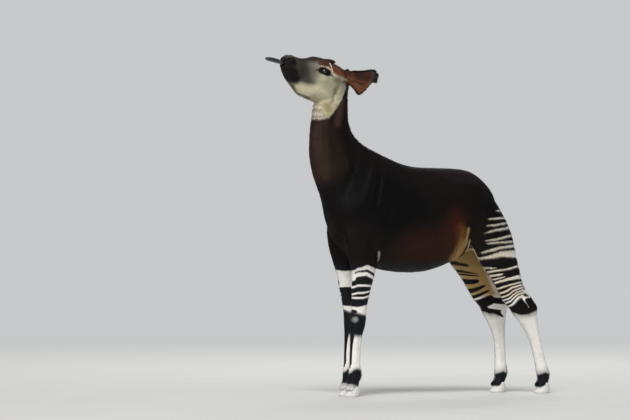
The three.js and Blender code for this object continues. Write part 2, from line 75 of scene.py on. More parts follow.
Triple = tuple[float, float, float]
Table = tuple[tuple[float, ...], ...]
Mesh = bpy.types.Mesh
Piece = bpy.types.Object
Material = bpy.types.Material
Tree = bpy.types.NodeTree
Node = bpy.types.Node
Socket = bpy.types.NodeSocket

LOG = logging.getLogger("okapi")
LEFT = -1
RIGHT = 1
SIDE_WORDS = {LEFT: "left", RIGHT: "right"}
EYE_AT = (-801.0, 77.0, 2083.0)
EYE_RADIUS = 23.0
BODY = "root"


def ramp(value: Array, low: float, high: float) -> Array:
    """A smooth step from 0 at low to 1 at high."""
    share = np.clip((value - low) / (high - low), 0.0, 1.0)
    return share * share * (3.0 - 2.0 * share)


def unit(vectors: Array) -> Array:
    """The vectors, each one long."""
    return vectors / np.maximum(np.linalg.norm(vectors, axis=-1, keepdims=True), 1e-9)


def tone(code: str) -> Triple:
    """The linear colour of six hex digits."""
    parts = [int(code[k : k + 2], 16) / 255 for k in (0, 2, 4)]
    return tuple(p / 12.92 if p < 0.04045 else ((p + 0.055) / 1.055) ** 2.4 for p in parts)


def mirrored(point: tuple, side: int) -> Array:
    """A point given for the right side of the body, on the side asked for."""
    return np.array(point, float) * (1, side, 1)


def blended(first: Array, second: object, share: Array) -> Array:
    """The first values where the share is 0, the second where it is 1; one share a value or a row."""
    weight = share[:, None] if np.ndim(share) == 1 < np.ndim(first) else share
    return first * (1 - weight) + second * weight


def rows_of(kind: type, *rows: tuple) -> tuple:
    """One thing of a kind for each row of its values."""
    return tuple(kind(*row) for row in rows)


def each(kind: type, size: int, *rows: tuple) -> tuple:
    """One thing of a kind for each flat row, which starts with two places of a size's coordinates."""
    return tuple(kind(row[:size], row[size : 2 * size], *row[2 * size :]) for row in rows)


def outwards(points: Array) -> Array:
    """Places with y counted outwards from the middle plane."""
    return np.where((False, True, False), np.abs(points), points)


def off_line(points: Array, start: tuple, end: tuple) -> tuple[Array, Array]:
    """How far points lie from a line between two ends.

    Args:
        points: Places, with two or three coordinates as the ends have.
        start: The first end.
        end: The second end.

    Returns:
        The distances, and the share of the way along.
    """
    a, b = np.array(start, float), np.array(end, float)
    way = b - a
    share = np.clip((points - a) @ way / max(way @ way, 1e-9), 0.0, 1.0)
    return np.linalg.norm(points - a - share[:, None] * way, axis=1), share


def filled(rows: Array, count: int) -> Array:
    """A smooth curve through the rows of a table.

    Args:
        rows: One row a station.
        count: How many rows to return.

    Returns:
        Rows at even steps along the table, by Catmull-Rom curves.
    """
    rows = np.asarray(rows, float)
    place = np.linspace(0, len(rows) - 1, count)
    first = np.minimum(place.astype(int), len(rows) - 2)
    f = (place - first)[:, None]
    a, b, c, d = (rows[np.clip(first + k, 0, len(rows) - 1)] for k in (-1, 0, 1, 2))
    return b + 0.5 * f * (c - a + f * (2 * a - 5 * b + 4 * c - d + f * (3 * (b - c) + d - a)))


class Own:
    """The animal's own frame: millimetres, with the middle of the body near x = 0."""

    low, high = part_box("eye_left")
    shift = np.array([(low[0] + high[0]) * 500 - EYE_AT[0], 0.0, 0.0])

    @classmethod
    def of_row(cls, points: Array) -> Array:
        """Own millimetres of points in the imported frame's metres."""
        return points * 1000 - cls.shift

    @classmethod
    def to_row(cls, points: Array) -> Array:
        """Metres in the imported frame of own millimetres."""
        return (np.asarray(points) + cls.shift) / 1000


@dataclass
class Shell:
    """A surface while it is being worked on: points in own millimetres and faces."""

    points: Array
    faces: list | Array

    def turned_out(self) -> "Shell":
        """The shell with its faces pointing outward, found from its volume."""
        mesh = self.mesh("turning")
        shape = bmesh.new()
        shape.from_mesh(mesh)
        if shape.calc_volume(signed=True) < 0:
            self.faces = [tuple(reversed(f)) for f in self.faces]
        shape.free()
        bpy.data.meshes.remove(mesh)
        return self

    def mesh(self, name: str) -> Mesh:
        """A smooth mesh of the shell.

        Args:
            name: The mesh's name.

        Returns:
            The mesh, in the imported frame.
        """
        made = bpy.data.meshes.new(name)
        made.from_pydata(Own.to_row(self.points).tolist(), [], [tuple(f) for f in self.faces])
        made.shade_smooth()
        made.update()
        return made


def joined(shells: list[Shell]) -> Shell:
    """Several shells as one."""
    points, faces, start = [], [], 0
    for shell in shells:
        points.append(shell.points)
        faces += [tuple(start + k for k in f) for f in shell.faces]
        start += len(shell.points)
    return Shell(np.concatenate(points), faces)


def loft(rings: Array, ends: tuple[bool, bool] = (True, True)) -> Shell:
    """A skin over closed rings.

    Args:
        rings: An array of ring, point, coordinate.
        ends: Whether the first and the last ring are closed with a fan.

    Returns:
        The surface, of quads between the rings.
    """
    count, around = rings.shape[:2]
    points = rings.reshape(-1, 3)
    grid = np.arange(count * around).reshape(count, around)
    ahead = np.roll(grid, -1, axis=1)
    faces = np.stack([grid[:-1], ahead[:-1], ahead[1:], grid[1:]], axis=-1).reshape(-1, 4).tolist()
    for ring, closed, turned in ((0, ends[0], True), (count - 1, ends[1], False)):
        if closed:
            middle = len(points)
            points = np.vstack([points, rings[ring].mean(axis=0)])
            for a, b in zip(grid[ring].tolist(), ahead[ring].tolist()):
                faces.append((b, a, middle) if turned else (a, b, middle))
    return Shell(points, faces)


def tube(rows: Array, count: int, around: int, flat: tuple = (0, 1, 0)) -> Shell:
    """A tube along a curve.

    Args:
        rows: Stations of x, y, z, half height and half width.
        count: Rings along the tube.
        around: Points around it.
        flat: The direction of its width.

    Returns:
        The closed tube.
    """
    path = filled(rows, count)
    ahead = unit(np.gradient(path[:, :3], axis=0))
    up = unit(np.cross(np.array(flat, float), ahead))
    level = np.cross(ahead, up)
    angle = np.linspace(0, 2 * math.pi, around, endpoint=False)
    high, wide = path[:, None, 3:4] * np.sin(angle)[:, None], path[:, None, 4:5] * np.cos(angle)[:, None]
    return loft(path[:, None, :3] + up[:, None] * high + level[:, None] * wide)


def in_scene(name: str, data: bpy.types.ID) -> Piece:
    """A new object in the scene, of a mesh, a light or a camera."""
    piece = bpy.data.objects.new(name, data)
    bpy.context.scene.collection.objects.link(piece)
    return piece


def shown(shape: Shell | Mesh, name: str, material: Material, slot: str, *solids: str) -> Piece:
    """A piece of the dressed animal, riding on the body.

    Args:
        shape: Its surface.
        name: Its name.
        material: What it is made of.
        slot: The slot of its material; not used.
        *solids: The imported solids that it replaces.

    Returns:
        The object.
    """
    mesh = shape.mesh(name) if isinstance(shape, Shell) else shape
    piece = in_scene(name, mesh)
    mesh.materials.append(material)
    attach(piece, BODY)
    if solids:
        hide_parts(*solids)
    LOG.info("%s: %d faces", name, len(mesh.polygons))
    return piece


def keep_attribute(mesh: Mesh, name: str, kind: str, values: Array) -> None:
    """Stores a value at each vertex.

    Args:
        mesh: The mesh.
        name: The attribute's name, which a material reads.
        kind: FLOAT, FLOAT_VECTOR or FLOAT_COLOR.
        values: One row a vertex.
    """
    layer = mesh.attributes.new(name, kind, "POINT")
    key = {"FLOAT": "value", "FLOAT_VECTOR": "vector", "FLOAT_COLOR": "color"}[kind]
    if kind == "FLOAT_COLOR":
        values = np.concatenate([values, np.ones((len(values), 1))], axis=1)
    layer.data.foreach_set(key, np.ascontiguousarray(values, dtype=np.float32).ravel())


class Side(Enum):
    """Which face of the body a patch of colour lies on."""

    BOTH = 0
    OUTER = 1
    INNER = 2


@dataclass(frozen=True)
class Stripe:
    """A light band across a leg.

    Its height is given at four stations from the leg's front edge to its rear edge.
    """

    height: tuple[float, float, float, float]
    half: tuple[float, ...]
    reach: Pair = (-0.2, 1.2)


@dataclass(frozen=True)
class Patch:
    """A soft line of colour seen from the side, between two places (x, z)."""

    start: Pair
    end: Pair
    radius: float
    soft: float
    colour: str
    strength: float = 1.0


@dataclass(frozen=True)
class Blot:
    """A dark or light mark that breaks the bands of a leg, between two places (share across, z)."""

    start: Pair
    end: Pair
    radius: float
    light: bool
    side: Side = Side.BOTH


@dataclass
class Leg:
    """Where one leg is and how thick it is at each height."""

    name: str
    side: int
    profile: Table
    joints: Table

    def at(self, height: Array) -> tuple[Array, Array, Array, Array]:
        """The leg's middle and half sizes.

        Args:
            height: Heights above the ground.

        Returns:
            Middle x, distance of the middle from the middle plane, half depth and half width.
        """
        on, deep, wide, ahead = np.array(self.profile[::-1], float).T
        x, out, z = (np.interp(on, range(len(self.joints)), axis) for axis in zip(*self.joints))
        return tuple(np.interp(height, z, values) for values in (x + ahead, out, deep, wide))

    def across(self, points: Array) -> tuple[Array, Array]:
        """The share from front edge to rear edge, and from -1 at the inner face to 1 at the outer."""
        x, out, deep, wide = self.at(points[:, 2])
        return 0.5 + (points[:, 0] - x) / (2 * deep), (points[:, 1] * self.side - out) / wide


FORE_PROFILE = (
    (0, 110, 34, 0), (0.4, 131, 59, -4), (1, 97, 63, 0), (1.45, 71, 49, 2), (1.7, 58, 43, 0),
    (2, 55, 49, 0), (2.28, 41, 36, -5), (2.8, 36, 32, -4), (3.1, 43, 41, 2), (3.45, 37, 37, 2),
    (4, 46, 44, 0),
)
HIND_PROFILE = (
    (0, 80, 30, 0), (0.25, 130, 64, -4), (0.6, 158, 80, -12), (1.14, 154, 73, -20), (1.47, 128, 59, -29),
    (1.74, 109, 46, -25), (1.93, 115, 44, -11), (2, 112, 43, 4), (2.22, 71, 37, 11), (2.55, 38, 30, 19),
    (2.8, 38, 31, 9), (3.1, 44, 40, 2), (3.45, 38, 36, 4), (4, 46, 43, 0),
)
LEGS = (
    Leg(
        "fore_left", LEFT, FORE_PROFILE,
        ((-560, 118, 1180), (-533, 108, 864), (-564, 88, 493), (-584, 86, 141), (-606, 87, 50)),
    ),
    Leg(
        "fore_right", RIGHT, FORE_PROFILE,
        ((-560, 118, 1180), (-546, 108, 864), (-515, 88, 493), (-536, 86, 141), (-558, 87, 50)),
    ),
    Leg(
        "hind_left", LEFT, HIND_PROFILE,
        ((285, 108, 1300), (392, 134, 1000), (603, 129, 570), (762, 127, 130), (756, 128, 50)),
    ),
    Leg(
        "hind_right", RIGHT, HIND_PROFILE,
        ((285, 108, 1300), (302, 134, 1000), (530, 129, 570), (589, 127, 130), (570, 128, 50)),
    ),
)
TOES = (-662, -612, 700, 512)
STATIONS = (0.03, 0.19, 0.51, 0.97)
SHARE_WIDTH = 110.0


@dataclass
class LegBands:
    """The light and dark bands of a pair of legs, as one running count and a threshold.

    A point is light where the count is near a whole number: nearer than half the threshold.
    """

    stripes: tuple[Stripe, ...]
    blots: tuple[Blot, ...]
    top: Pair

    def _count(self, share: Array, height: Array) -> Array:
        """The running count: whole at the middle of a stripe, halves at the middle of a dark band."""
        edges = []
        for stripe in self.stripes:
            middle = np.interp(share, STATIONS, stripe.height)
            half = np.interp(share, STATIONS[:: 3 // (len(stripe.half) - 1)], stripe.half)
            edges += [middle + half, middle - half]
        total = -0.25 - np.clip((height - edges[0]) / 60, 0, 0.25)
        for above, below in zip(edges, edges[1:]):
            total += 0.5 * np.clip((above - height) / np.maximum(above - below, 1.5), 0, 1)
        return total

    def read(self, share: Array, height: Array, out: Array) -> tuple[Array, Array]:
        """The bands at places on the leg.

        Args:
            share: From front edge to rear edge.
            height: Above the ground.
            out: From -1 at the inner face to 1 at the outer face.

        Returns:
            The running count, and the threshold: a half where a stripe has its full height, more than
            one where all is light, less than nothing where all is dark.
        """
        count = self._count(share, height)
        nearest = np.clip(np.round(count), 0, len(self.stripes) - 1).astype(int)
        starts, ends = np.array([stripe.reach for stripe in self.stripes])[nearest].T
        fade = ramp(share, starts - 0.12, starts + 0.12) * (1 - ramp(share, ends - 0.12, ends + 0.12))
        limit = -0.3 + 0.8 * fade
        scale = np.array([SHARE_WIDTH, 1.0])
        places = np.stack([share, height], axis=1) * scale
        faces = {Side.BOTH: 1.0, Side.OUTER: ramp(out, 0.0, 0.3), Side.INNER: ramp(-out, 0.0, 0.3)}
        for blot in self.blots:
            face = faces[blot.side]
            away, _ = off_line(places, blot.start * scale, blot.end * scale)
            inside = np.clip((blot.radius - away) / 6, -1, 1) * face - (1 - face)
            light, dark = np.maximum(limit, 0.5 + 1.1 * inside), np.minimum(limit, 0.5 - 1.1 * inside)
            limit = np.where(inside > -1, light if blot.light else dark, limit)
        return count, limit


@dataclass
class ForeBands(LegBands):
    """Bands of the forelegs."""

    stripes: tuple[Stripe, ...] = rows_of(
        Stripe,
        ((796, 819, 832, 803), (8, 18)), ((764, 786, 790, 758), (14, 9)),
        ((701, 714, 714, 709), (5.1, 5.1)), ((657, 666, 667, 678), (5.1, 5.1)),
        ((636, 635, 635, 649), (5.1, 5.1)), ((568, 560, 557, 558), (10.6, 36)),
        ((270, 282, 286, 281), (117, 107.5, 101.5, 109)), ((-6, -7, -10, -16), (86, 75)),
    )
    blots: tuple[Blot, ...] = each(
        Blot, 2,
        (0.0, 800, 0.02, 754, 13, True), (0.0, 555, 0.18, 548, 9, False, Side.OUTER),
    )
    top: Pair = (868.0, 905.0)

    def read(self, share: Array, height: Array, out: Array) -> tuple[Array, Array]:
        """As for any leg, with a pale inner face above and a dark line down the front of the cannon."""
        count, limit = super().read(share, height, out)
        inner = ramp(-out, -0.1, 0.35)
        pale = ramp(height, 690, 712) * (1 - ramp(height, 788, 812))
        dark = (1 - ramp(height, 690, 704)) * ramp(height, 592, 606)
        dark = np.maximum(dark, ramp(height, 800, 815))
        limit = limit + inner * (1.4 * pale - 1.4 * dark)
        line = np.abs(out) * 34 - np.interp(height, (195, 215, 330, 390), (8, 17, 19, 24))
        front = (share < 0.5) & (height > 185) & (height < 400)
        return count, np.where(front, np.minimum(limit, 0.5 + line / 5), limit)


@dataclass
class HindBands(LegBands):
    """Bands of the thighs and hind legs."""

    stripes: tuple[Stripe, ...] = rows_of(
        Stripe,
        ((1170, 1172, 1178, 1188), (1.2, 2.6), (0.74, 1.2)),
        ((1123, 1126, 1133, 1141), (2.2, 3.8), (0.46, 1.2)),
        ((1082, 1085, 1092, 1108), (2.2, 3.6), (0.38, 1.2)),
        ((1011, 1030, 1061, 1076), (2.2, 5.2), (0.28, 1.2)),
        ((970, 989, 1002, 1027), (2.2, 5.4), (0.24, 1.2)), ((952, 974, 981, 987), (2, 4.4), (0.24, 1.2)),
        ((910, 924, 947, 960), (3.4, 8.6), (0.06, 1.2)), ((879, 888, 908, 906), (4.5, 26)),
        ((815, 814, 823, 852), (3.8, 1.9), (-0.2, 0.26)), ((788, 797, 805, 828), (5.4, 5.8)),
        ((762, 768, 783, 803), (6.5, 2.6), (-0.2, 0.38)),
        ((737, 747, 764, 787), (3.2, 3.2), (-0.2, 0.42)), ((715, 728, 744, 759), (4.5, 12.8)),
        ((678, 691, 707, 724), (3.8, 3.8)), ((650, 661, 689, 706), (5.2, 5.1)),
        ((625, 636, 670, 690), (3.8, 3.8)), ((604, 616, 654, 676), (3.8, 3.8)),
        ((586, 599, 640, 662), (3.8, 4.5)), ((566, 582, 624, 648), (3.8, 6)),
        ((322, 318, 323, 328), (200, 188, 183, 205)), ((-22, -21, -24, -27), (62, 36)),
    )
    blots: tuple[Blot, ...] = each(
        Blot, 2,
        (0.74, 600, 0.93, 660, 15, True, Side.OUTER), (0.62, 560, 0.66, 625, 5, True, Side.OUTER),
        (0.80, 640, 0.82, 636, 9, False, Side.OUTER), (0.86, 596, 0.84, 570, 22, False, Side.OUTER),
        (0.36, 560, 1.1, 545, 20, True, Side.INNER), (0.85, 520, 1.1, 515, 20, True, Side.INNER),
        (0.02, 570, 0.60, 616, 20, False, Side.INNER), (0.80, 608, 0.93, 590, 17, False, Side.INNER),
        (0.08, 544, 0.45, 528, 7, False, Side.INNER), (0.40, 528, 0.58, 508, 11, False, Side.INNER),
        (0.58, 508, 0.74, 492, 6, False, Side.INNER),
    )
    top: Pair = (1196.0, 1230.0)

    def read(self, share: Array, height: Array, out: Array) -> tuple[Array, Array]:
        """As for any leg, with a wide pale field on the inner face behind the bands."""
        count, limit = super().read(share, height, out)
        inner = ramp(-out, -0.05, 0.3)
        start = np.interp(height, (600, 700, 850, 910), (0.66, 0.66, 0.5, 0.2))
        start = start + 0.07 * np.sin(height / 17) + 0.04 * np.sin(height / 7.3)
        field_share = ramp(share, start - 0.22, start + 0.16) * ramp(height, 592, 618)
        rim = ramp(share, 0.93, 1.0) * ramp(height, 650, 700) * (1 - ramp(height, 960, 1010))
        return count, limit + inner * field_share * 1.5 + rim * 0.5


@dataclass
class InnerBands(HindBands):
    """Bands of the inner faces of the thighs and hind legs, fewer and broader than outside."""

    stripes: tuple[Stripe, ...] = rows_of(
        Stripe,
        ((901, 886, 864, 840), (40, 40)), ((815, 807, 789, 770), (16, 15.5, 19, 25)),
        ((778, 773, 762, 755), (2.2, 2)), ((752, 747, 745, 744), (11, 11, 8, 6)),
        ((688, 691, 708, 730), (15, 10.5, 9.5, 10)), ((637, 648, 672, 692), (6, 7, 10, 10)),
        ((603, 615, 640, 662), (4.5, 6, 9, 12)),
    ) + HindBands.stripes[-2:]


@dataclass
class Marks:
    """The colours of the coat, as functions of place.

    Every coat surface takes them from here, so that the skin and the tufts agree.
    """

    fore: ForeBands = field(default_factory=ForeBands)
    hind: HindBands = field(default_factory=HindBands)
    inner: InnerBands = field(default_factory=InnerBands)
    trunk: tuple[Patch, ...] = each(
        Patch, 2,
        (-840, 1760, -800, 1450, 70, 110, "3a2821", 0.9),
        (-740, 1700, -690, 1420, 50, 90, "21160f", 0.9), (-560, 1300, -300, 1200, 190, 160, "060505"),
        (-670, 1900, -700, 1760, 26, 50, "4a342b", 0.8), (-200, 930, 90, 925, 120, 210, "2f160d", 0.95),
        (40, 1010, 96, 1130, 66, 120, "3a180a", 0.85), (118, 1080, 128, 960, 30, 60, "5f3317", 0.85),
        # The second patch on this line: a lighter purplish tone along the top of the back and rump, painted
        # sheen.
        (345, 1200, 400, 1000, 60, 110, "060505", 0.95), (60, 1445, 330, 1390, 44, 80, "22171b", 0.8),
    )
    flank: tuple[Patch, ...] = each(
        Patch, 2,
        (160, 1060, 150, 900, 26, 44, "80562c", 0.85), (150, 990, 112, 890, 26, 44, "94703f", 0.85),
        (184, 1080, 176, 960, 9, 14, "bb9f72", 0.95), (172, 985, 150, 872, 26, 30, "ae8b59", 0.95),
        (214, 1000, 222, 900, 4, 7, "cdbb97", 0.8), (-446, 926, -440, 884, 10, 8, "b5a69c", 0.95),
    )
    head: tuple[Patch, ...] = each(
        Patch, 2,
        (-1000, 2120, -640, 1980, 400, 10, "9b9688"), (-870, 1960, -760, 1930, 95, 60, "d3cfb4"),
        (-950, 2000, -830, 1935, 45, 35, "d6cfb0"), (-830, 1890, -760, 1850, 60, 50, "bdb494"),
        (-806, 2030, -770, 2000, 40, 45, "c3c2a2"), (-770, 2010, -720, 1960, 50, 80, "96937a", 0.7),
        (-900, 2180, -888, 2050, 52, 70, "65635a", 0.9),
        (-940, 2200, -928, 2050, 40, 56, "2f2e29", 0.95),
        (-930, 2036, -900, 2024, 12, 30, "3c3a34", 0.7), (-900, 2180, -850, 2160, 24, 34, "4a4338", 0.9),
        # The first patch on this line: a soft dark line running back from the corner of the mouth, painted
        # shade of the lip line.
        (-960, 2040, -876, 2014, 6, 56, "45433c", 0.9), (-1100, 2150, -1010, 2150, 46, 62, "14110f"),
        (-1100, 2100, -1002, 2080, 50, 74, "14110f"), (-1080, 2050, -986, 2036, 34, 44, "14110f"),
        # The second patch on this line: a dark line along the lower edge of the jaw, painted shade.
        (-1010, 1990, -985, 1950, 20, 16, "6d6454"), (-985, 1950, -880, 1915, 7, 10, "574c38", 0.8),
        (-960, 2196, -880, 2180, 34, 36, "261f18"), (-890, 2182, -700, 2150, 22, 20, "30241b"),
        (-640, 2090, -600, 2000, 40, 24, "38231c"), (-824, 2138, -770, 2132, 18, 14, "4c2d25"),
        (-742, 2108, -640, 2062, 26, 16, "6e3f2a"), (-742, 2138, -640, 2096, 9, 12, "2a1813"),
        (-655, 2100, -605, 2030, 24, 16, "4a2b20"), (-753, 2134, -746, 2080, 5, 5, "ead8c4"),
        (-738, 2066, -716, 2046, 6, 7, "d9ccb4"), (-822, 2093, -780, 2075, 21, 6, "120e0d"),
        (-826, 2119, -786, 2110, 3.4, 4, "b9ab97"), (-786, 2110, -758, 2094, 4, 4, "dccfb8"),
        (-842, 2098, -852, 2092, 5, 6, "2a2521"), (-760, 2062, -748, 2056, 5, 6, "2a2521", 0.8),
        (-716, 2030, -662, 2026, 22, 36, "706b55", 0.85),
        (-700, 2000, -716, 1950, 12, 26, "7a7659", 0.8), (-672, 2034, -644, 2028, 8, 18, "a89a80", 0.7),
        # The first patch on this line: a dark line in the groove behind the jaw, painted shade; the second
        # is the cream band behind it.
        (-719, 1975, -735, 1894, 6, 12, "6d6a4a", 0.8), (-690, 1960, -738, 1868, 12, 14, "cfc3a6"),
        # From the second patch on this line: pale lines along the ridges of the throat folds, the throat's
        # pale hair with painted light, and darker lines in the grooves between them, painted shade.
        (-780, 1870, -768, 1846, 18, 24, "9c9466", 0.7), (-862, 1872, -815, 1858, 10, 12, "dfd4c8"),
        (-868, 1850, -810, 1840, 4, 6, "8f8470", 0.8), (-862, 1822, -808, 1812, 9, 9, "e2d6ca"),
        (-868, 1806, -806, 1797, 4, 5, "8a7e70", 0.8), (-862, 1790, -790, 1788, 6, 7, "cdbfb0"),
    )
    neck_line: Table = (
        (-905, 1800), (-870, 1784), (-815, 1779), (-765, 1790), (-735, 1822), (-705, 1862),
        (-675, 1900), (-648, 1946), (-632, 1985), (-610, 2010), (-560, 2030),
    )
    base: str = "110b0b"
    # Black of the lower legs, with a bluish tint painted in as the sky's reflection on the glossy hair.
    leg_black_and_sky_sheen: str = "14171c"
    knee: Pair = (0.18, 496.0)
    knee_grey: str = "a3a7a4"
    pale_leg: str = "f5f2ee"
    cream: str = "e6d6b8"
    tan: str = "b0925f"

    def _painted(self, colour: Array, places: Array, patches: tuple, share: object) -> Array:
        """Lays patches of colour over one another."""
        for patch in patches:
            away, _ = off_line(places, patch.start, patch.end)
            cover = 1 - ramp(away, patch.radius - patch.soft * 0.5, patch.radius + patch.soft * 0.5)
            colour = blended(colour, tone(patch.colour), cover * patch.strength * share)
        return colour

    def _eared(self, colour: Array, points: Array) -> Array:
        """Lays the ears' colours over a coat: dark rims and backs, and red-brown cups with painted shade.
        """
        for side in (LEFT, RIGHT):
            share, t, lift = Ear(side).place_of(points)
            mine = ramp(share, 0.02, 0.12) * Ear(side).holds(points)
            inside = ramp(lift + 9 * (1 - ramp(share, 0.12, 0.35)), -1.0, 0.6)
            # Painted shade in the cup: darker in its upper part, along the fold line and towards the root.
            high = ramp(t, -0.30, 0.25) * ramp(share, 0.10, 0.35) * 0.85
            fold = (1 - ramp(np.abs(t + 0.16 + 0.1 * share), 0.04, 0.16)) * (1 - ramp(share, 0.55, 0.8))
            near = (1 - ramp(share, 0.06, 0.30)) * 0.5
            dim = np.maximum.reduce([high, fold * 0.8, near])
            cup = blended(np.full_like(points, tone("5f3a22")), tone("29190f"), dim)
            cup = cup * (1 + 0.22 * np.sin(t * 21 + share * 5 + np.sin(share * 17)))[:, None]
            edge = ramp(np.abs(t), 0.80, 0.92) * ramp(share, 0.12, 0.28)
            whole = blended(cup, tone("2a1b18"), 1 - inside)
            whole = blended(whole, tone("100c0c"), np.maximum(edge, ramp(share, 0.84, 0.93)))
            colour = blended(colour, whole, mine)
        return colour

    def _kneed(self, colour: Array, points: Array) -> Array:
        """Lays a pale grey spot on the outer front of each knee over a coat."""
        for leg in LEGS[:2]:
            share, out = leg.across(points)
            away = np.hypot((share - self.knee[0]) * 100, (points[:, 2] - self.knee[1]) * 0.8)
            spot = 0.75 * (1 - ramp(away, 5, 21)) * ramp(out, -0.1, 0.3) * (points[:, 1] * leg.side > 0)
            colour = blended(colour, tone(self.knee_grey), spot)
        return colour

    def on_head(self, points: Array) -> Array:
        """How far points belong to the head's colours rather than the neck's."""
        x, _, z = points.T
        return ramp(z - np.interp(x, *zip(*self.neck_line)), -5, 5) * ramp(-x, 590, 606)

    def tints(self, points: Array) -> tuple[Array, Array]:
        """The colours of the coat.

        Args:
            points: Places.

        Returns:
            The colour where a band is dark, and where it is light.
        """
        places = points[:, [0, 2]]
        x, y, z = points.T
        dark = self._painted(np.full_like(points, tone(self.base)), places, self.trunk, 1)
        dark = self._painted(dark, places, self.flank, ramp(np.abs(y), 20, 70))
        # The lower forelegs and all pasterns take the leg black, with its painted bluish sky reflection.
        low = np.maximum(ramp(-z, -880, -820) * (x < 0), ramp(-z, -180, -150))
        dark = self._kneed(blended(dark, tone(self.leg_black_and_sky_sheen), low), points)
        face = self._painted(dark, places, self.head, 1)
        dark = self._eared(blended(dark, face, self.on_head(points)), points)
        light = np.full_like(points, tone(self.pale_leg))
        for leg in LEGS[2:]:
            share, out = leg.across(points)
            inner = ramp(-out, -0.1, 0.3)
            high = (y * leg.side > 0) * (x > 100) * ramp(z, 600, 650)
            brown = inner * high * (1 - 0.7 * ramp(share, 0.72, 0.92))
            warm = (1 - inner) * high * (1 - ramp(share, 0.5, 0.95)) * 0.7
            light = blended(blended(light, tone(self.tan), brown), tone(self.cream), warm)
        return dark, light

    def bands(self, points: Array) -> tuple[Array, Array]:
        """The count of bands and their threshold.

        Args:
            points: Places.

        Returns:
            The running count, and the threshold that says how much is light.
        """
        count = np.full(len(points), 0.5)
        limit = np.full(len(points), -1.5)
        for leg in LEGS:
            outer, inner = (self.fore, self.fore) if leg in LEGS[:2] else (self.hind, self.inner)
            share, out = leg.across(points)
            height, away = points[:, 2], np.hypot(2 * share - 1, out)
            mine = (points[:, 1] * leg.side > 0) & (height < outer.top[1]) & (away < 1.9)
            share, height, out, away = (values[mine] for values in (share, height, out, away))
            found = [bands.read(share, height, out) for bands in (inner, outer)]
            count[mine], light = np.where(out < 0, *found)
            fade = np.maximum(ramp(height, *outer.top), ramp(away, 1.35, 1.7))
            limit[mine] = blended(light, -0.5, fade)
        return count, limit

    def store(self, mesh: Mesh, points: Array, owner: Array | None = None, shade: object = 1) -> None:
        """Keeps the marks at each vertex of a mesh.

        Args:
            mesh: A coat surface.
            points: The places, in the own frame, where the colour is read.
            owner: Which place each vertex takes its colour from, where that isn't its own.
            shade: How much brighter or darker than the rest each place is.
        """
        dark, light = self.tints(points)
        count, limit = self.bands(points)
        dark = dark * np.reshape(shade, (-1, 1))
        light = np.minimum(light * (0.5 + 0.5 * np.reshape(shade, (-1, 1))), 0.95)
        names = ("band_count", "band_limit", "dark_tint", "light_tint")
        for name, values in zip(names, (count, limit, dark, light)):
            kind = "FLOAT_COLOR" if values.ndim == 2 else "FLOAT"
            keep_attribute(mesh, name, kind, values if owner is None else values[owner])


@dataclass
class Wiring:
    """Adds nodes to a shader tree and links them."""

    tree: Tree

    def feed(self, node: Node, **inputs: object) -> Node:
        """Sets or links the inputs of a node.

        Args:
            node: The node.
            **inputs: Values or sockets by input name, with _ for a space, or by number as in n0.

        Returns:
            The node.
        """
        for key, value in inputs.items():
            place = int(key[1:]) if key[0] == "n" and key[1:].isdigit() else key.replace("_", " ")
            if isinstance(value, Socket):
                self.tree.links.new(value, node.inputs[place])
            else:
                node.inputs[place].default_value = value
        return node

    def add(self, kind: str, settings: dict | None = None, **inputs: object) -> Node:
        """Adds one node.

        Args:
            kind: The node's type, without its ShaderNode prefix.
            settings: Properties of the node.
            **inputs: Its inputs, as in feed.

        Returns:
            The node.
        """
        node = self.tree.nodes.new(f"ShaderNode{kind}")
        for key, value in (settings or {}).items():
            setattr(node, key, value)
        return self.feed(node, **inputs)

    def math(self, operation: str, *values: object) -> Socket:
        """The result of a sum on numbers or sockets."""
        inputs = {f"n{k}": value for k, value in enumerate(values)}
        return self.add("Math", {"operation": operation}, **inputs).outputs[0]

    def mixed(self, share: object, first: object, second: object, blend: str = "MIX") -> Socket:
        """A colour between two, or the two multiplied."""
        settings = {"data_type": "RGBA", "blend_type": blend}
        return self.add("Mix", settings, n0=share, n6=first, n7=second).outputs[2]

    def place(self) -> Socket:
        """The place on the surface, in metres."""
        return self.add("TexCoord").outputs["Object"]

    def noise(self, scale: object, detail: float, place: Socket | None = None) -> Socket:
        """Noise at a scale, on the surface's own place or another vector."""
        vector = self.place() if place is None else place
        return self.add("TexNoise", Vector=vector, Scale=scale, Detail=detail).outputs[0]

    def spread(self, value: object, low: float, high: float, to_low: float, to_high: float) -> Socket:
        """A value carried from one range to another, held at the ends."""
        inputs = {"n0": value, "n1": low, "n2": high, "n3": to_low, "n4": to_high}
        return self.add("MapRange", {"interpolation_type": "SMOOTHSTEP"}, **inputs).outputs[0]

    def stored(self, name: str, output: str = "Fac") -> Socket:
        """A value kept at the vertices."""
        return self.add("Attribute", {"attribute_name": name}).outputs[output]


def grouped(name: str, inputs: dict, outputs: dict) -> tuple[Wiring, dict, Node]:
    """Starts a shader node group.

    Args:
        name: The group's name.
        inputs: Number inputs with their defaults.
        outputs: Output names with their socket kinds, Color or Float.

    Returns:
        The group's wiring, its input sockets by name and its output node.
    """
    tree = bpy.data.node_groups.new(name, "ShaderNodeTree")
    for key, value in inputs.items():
        socket = tree.interface.new_socket(key, in_out="INPUT", socket_type="NodeSocketFloat")
        socket.default_value = value
    for key, kind in outputs.items():
        tree.interface.new_socket(key, in_out="OUTPUT", socket_type=f"NodeSocket{kind}")
    start = tree.nodes.new("NodeGroupInput")
    return Wiring(tree), {key: start.outputs[key] for key in inputs}, tree.nodes.new("NodeGroupOutput")


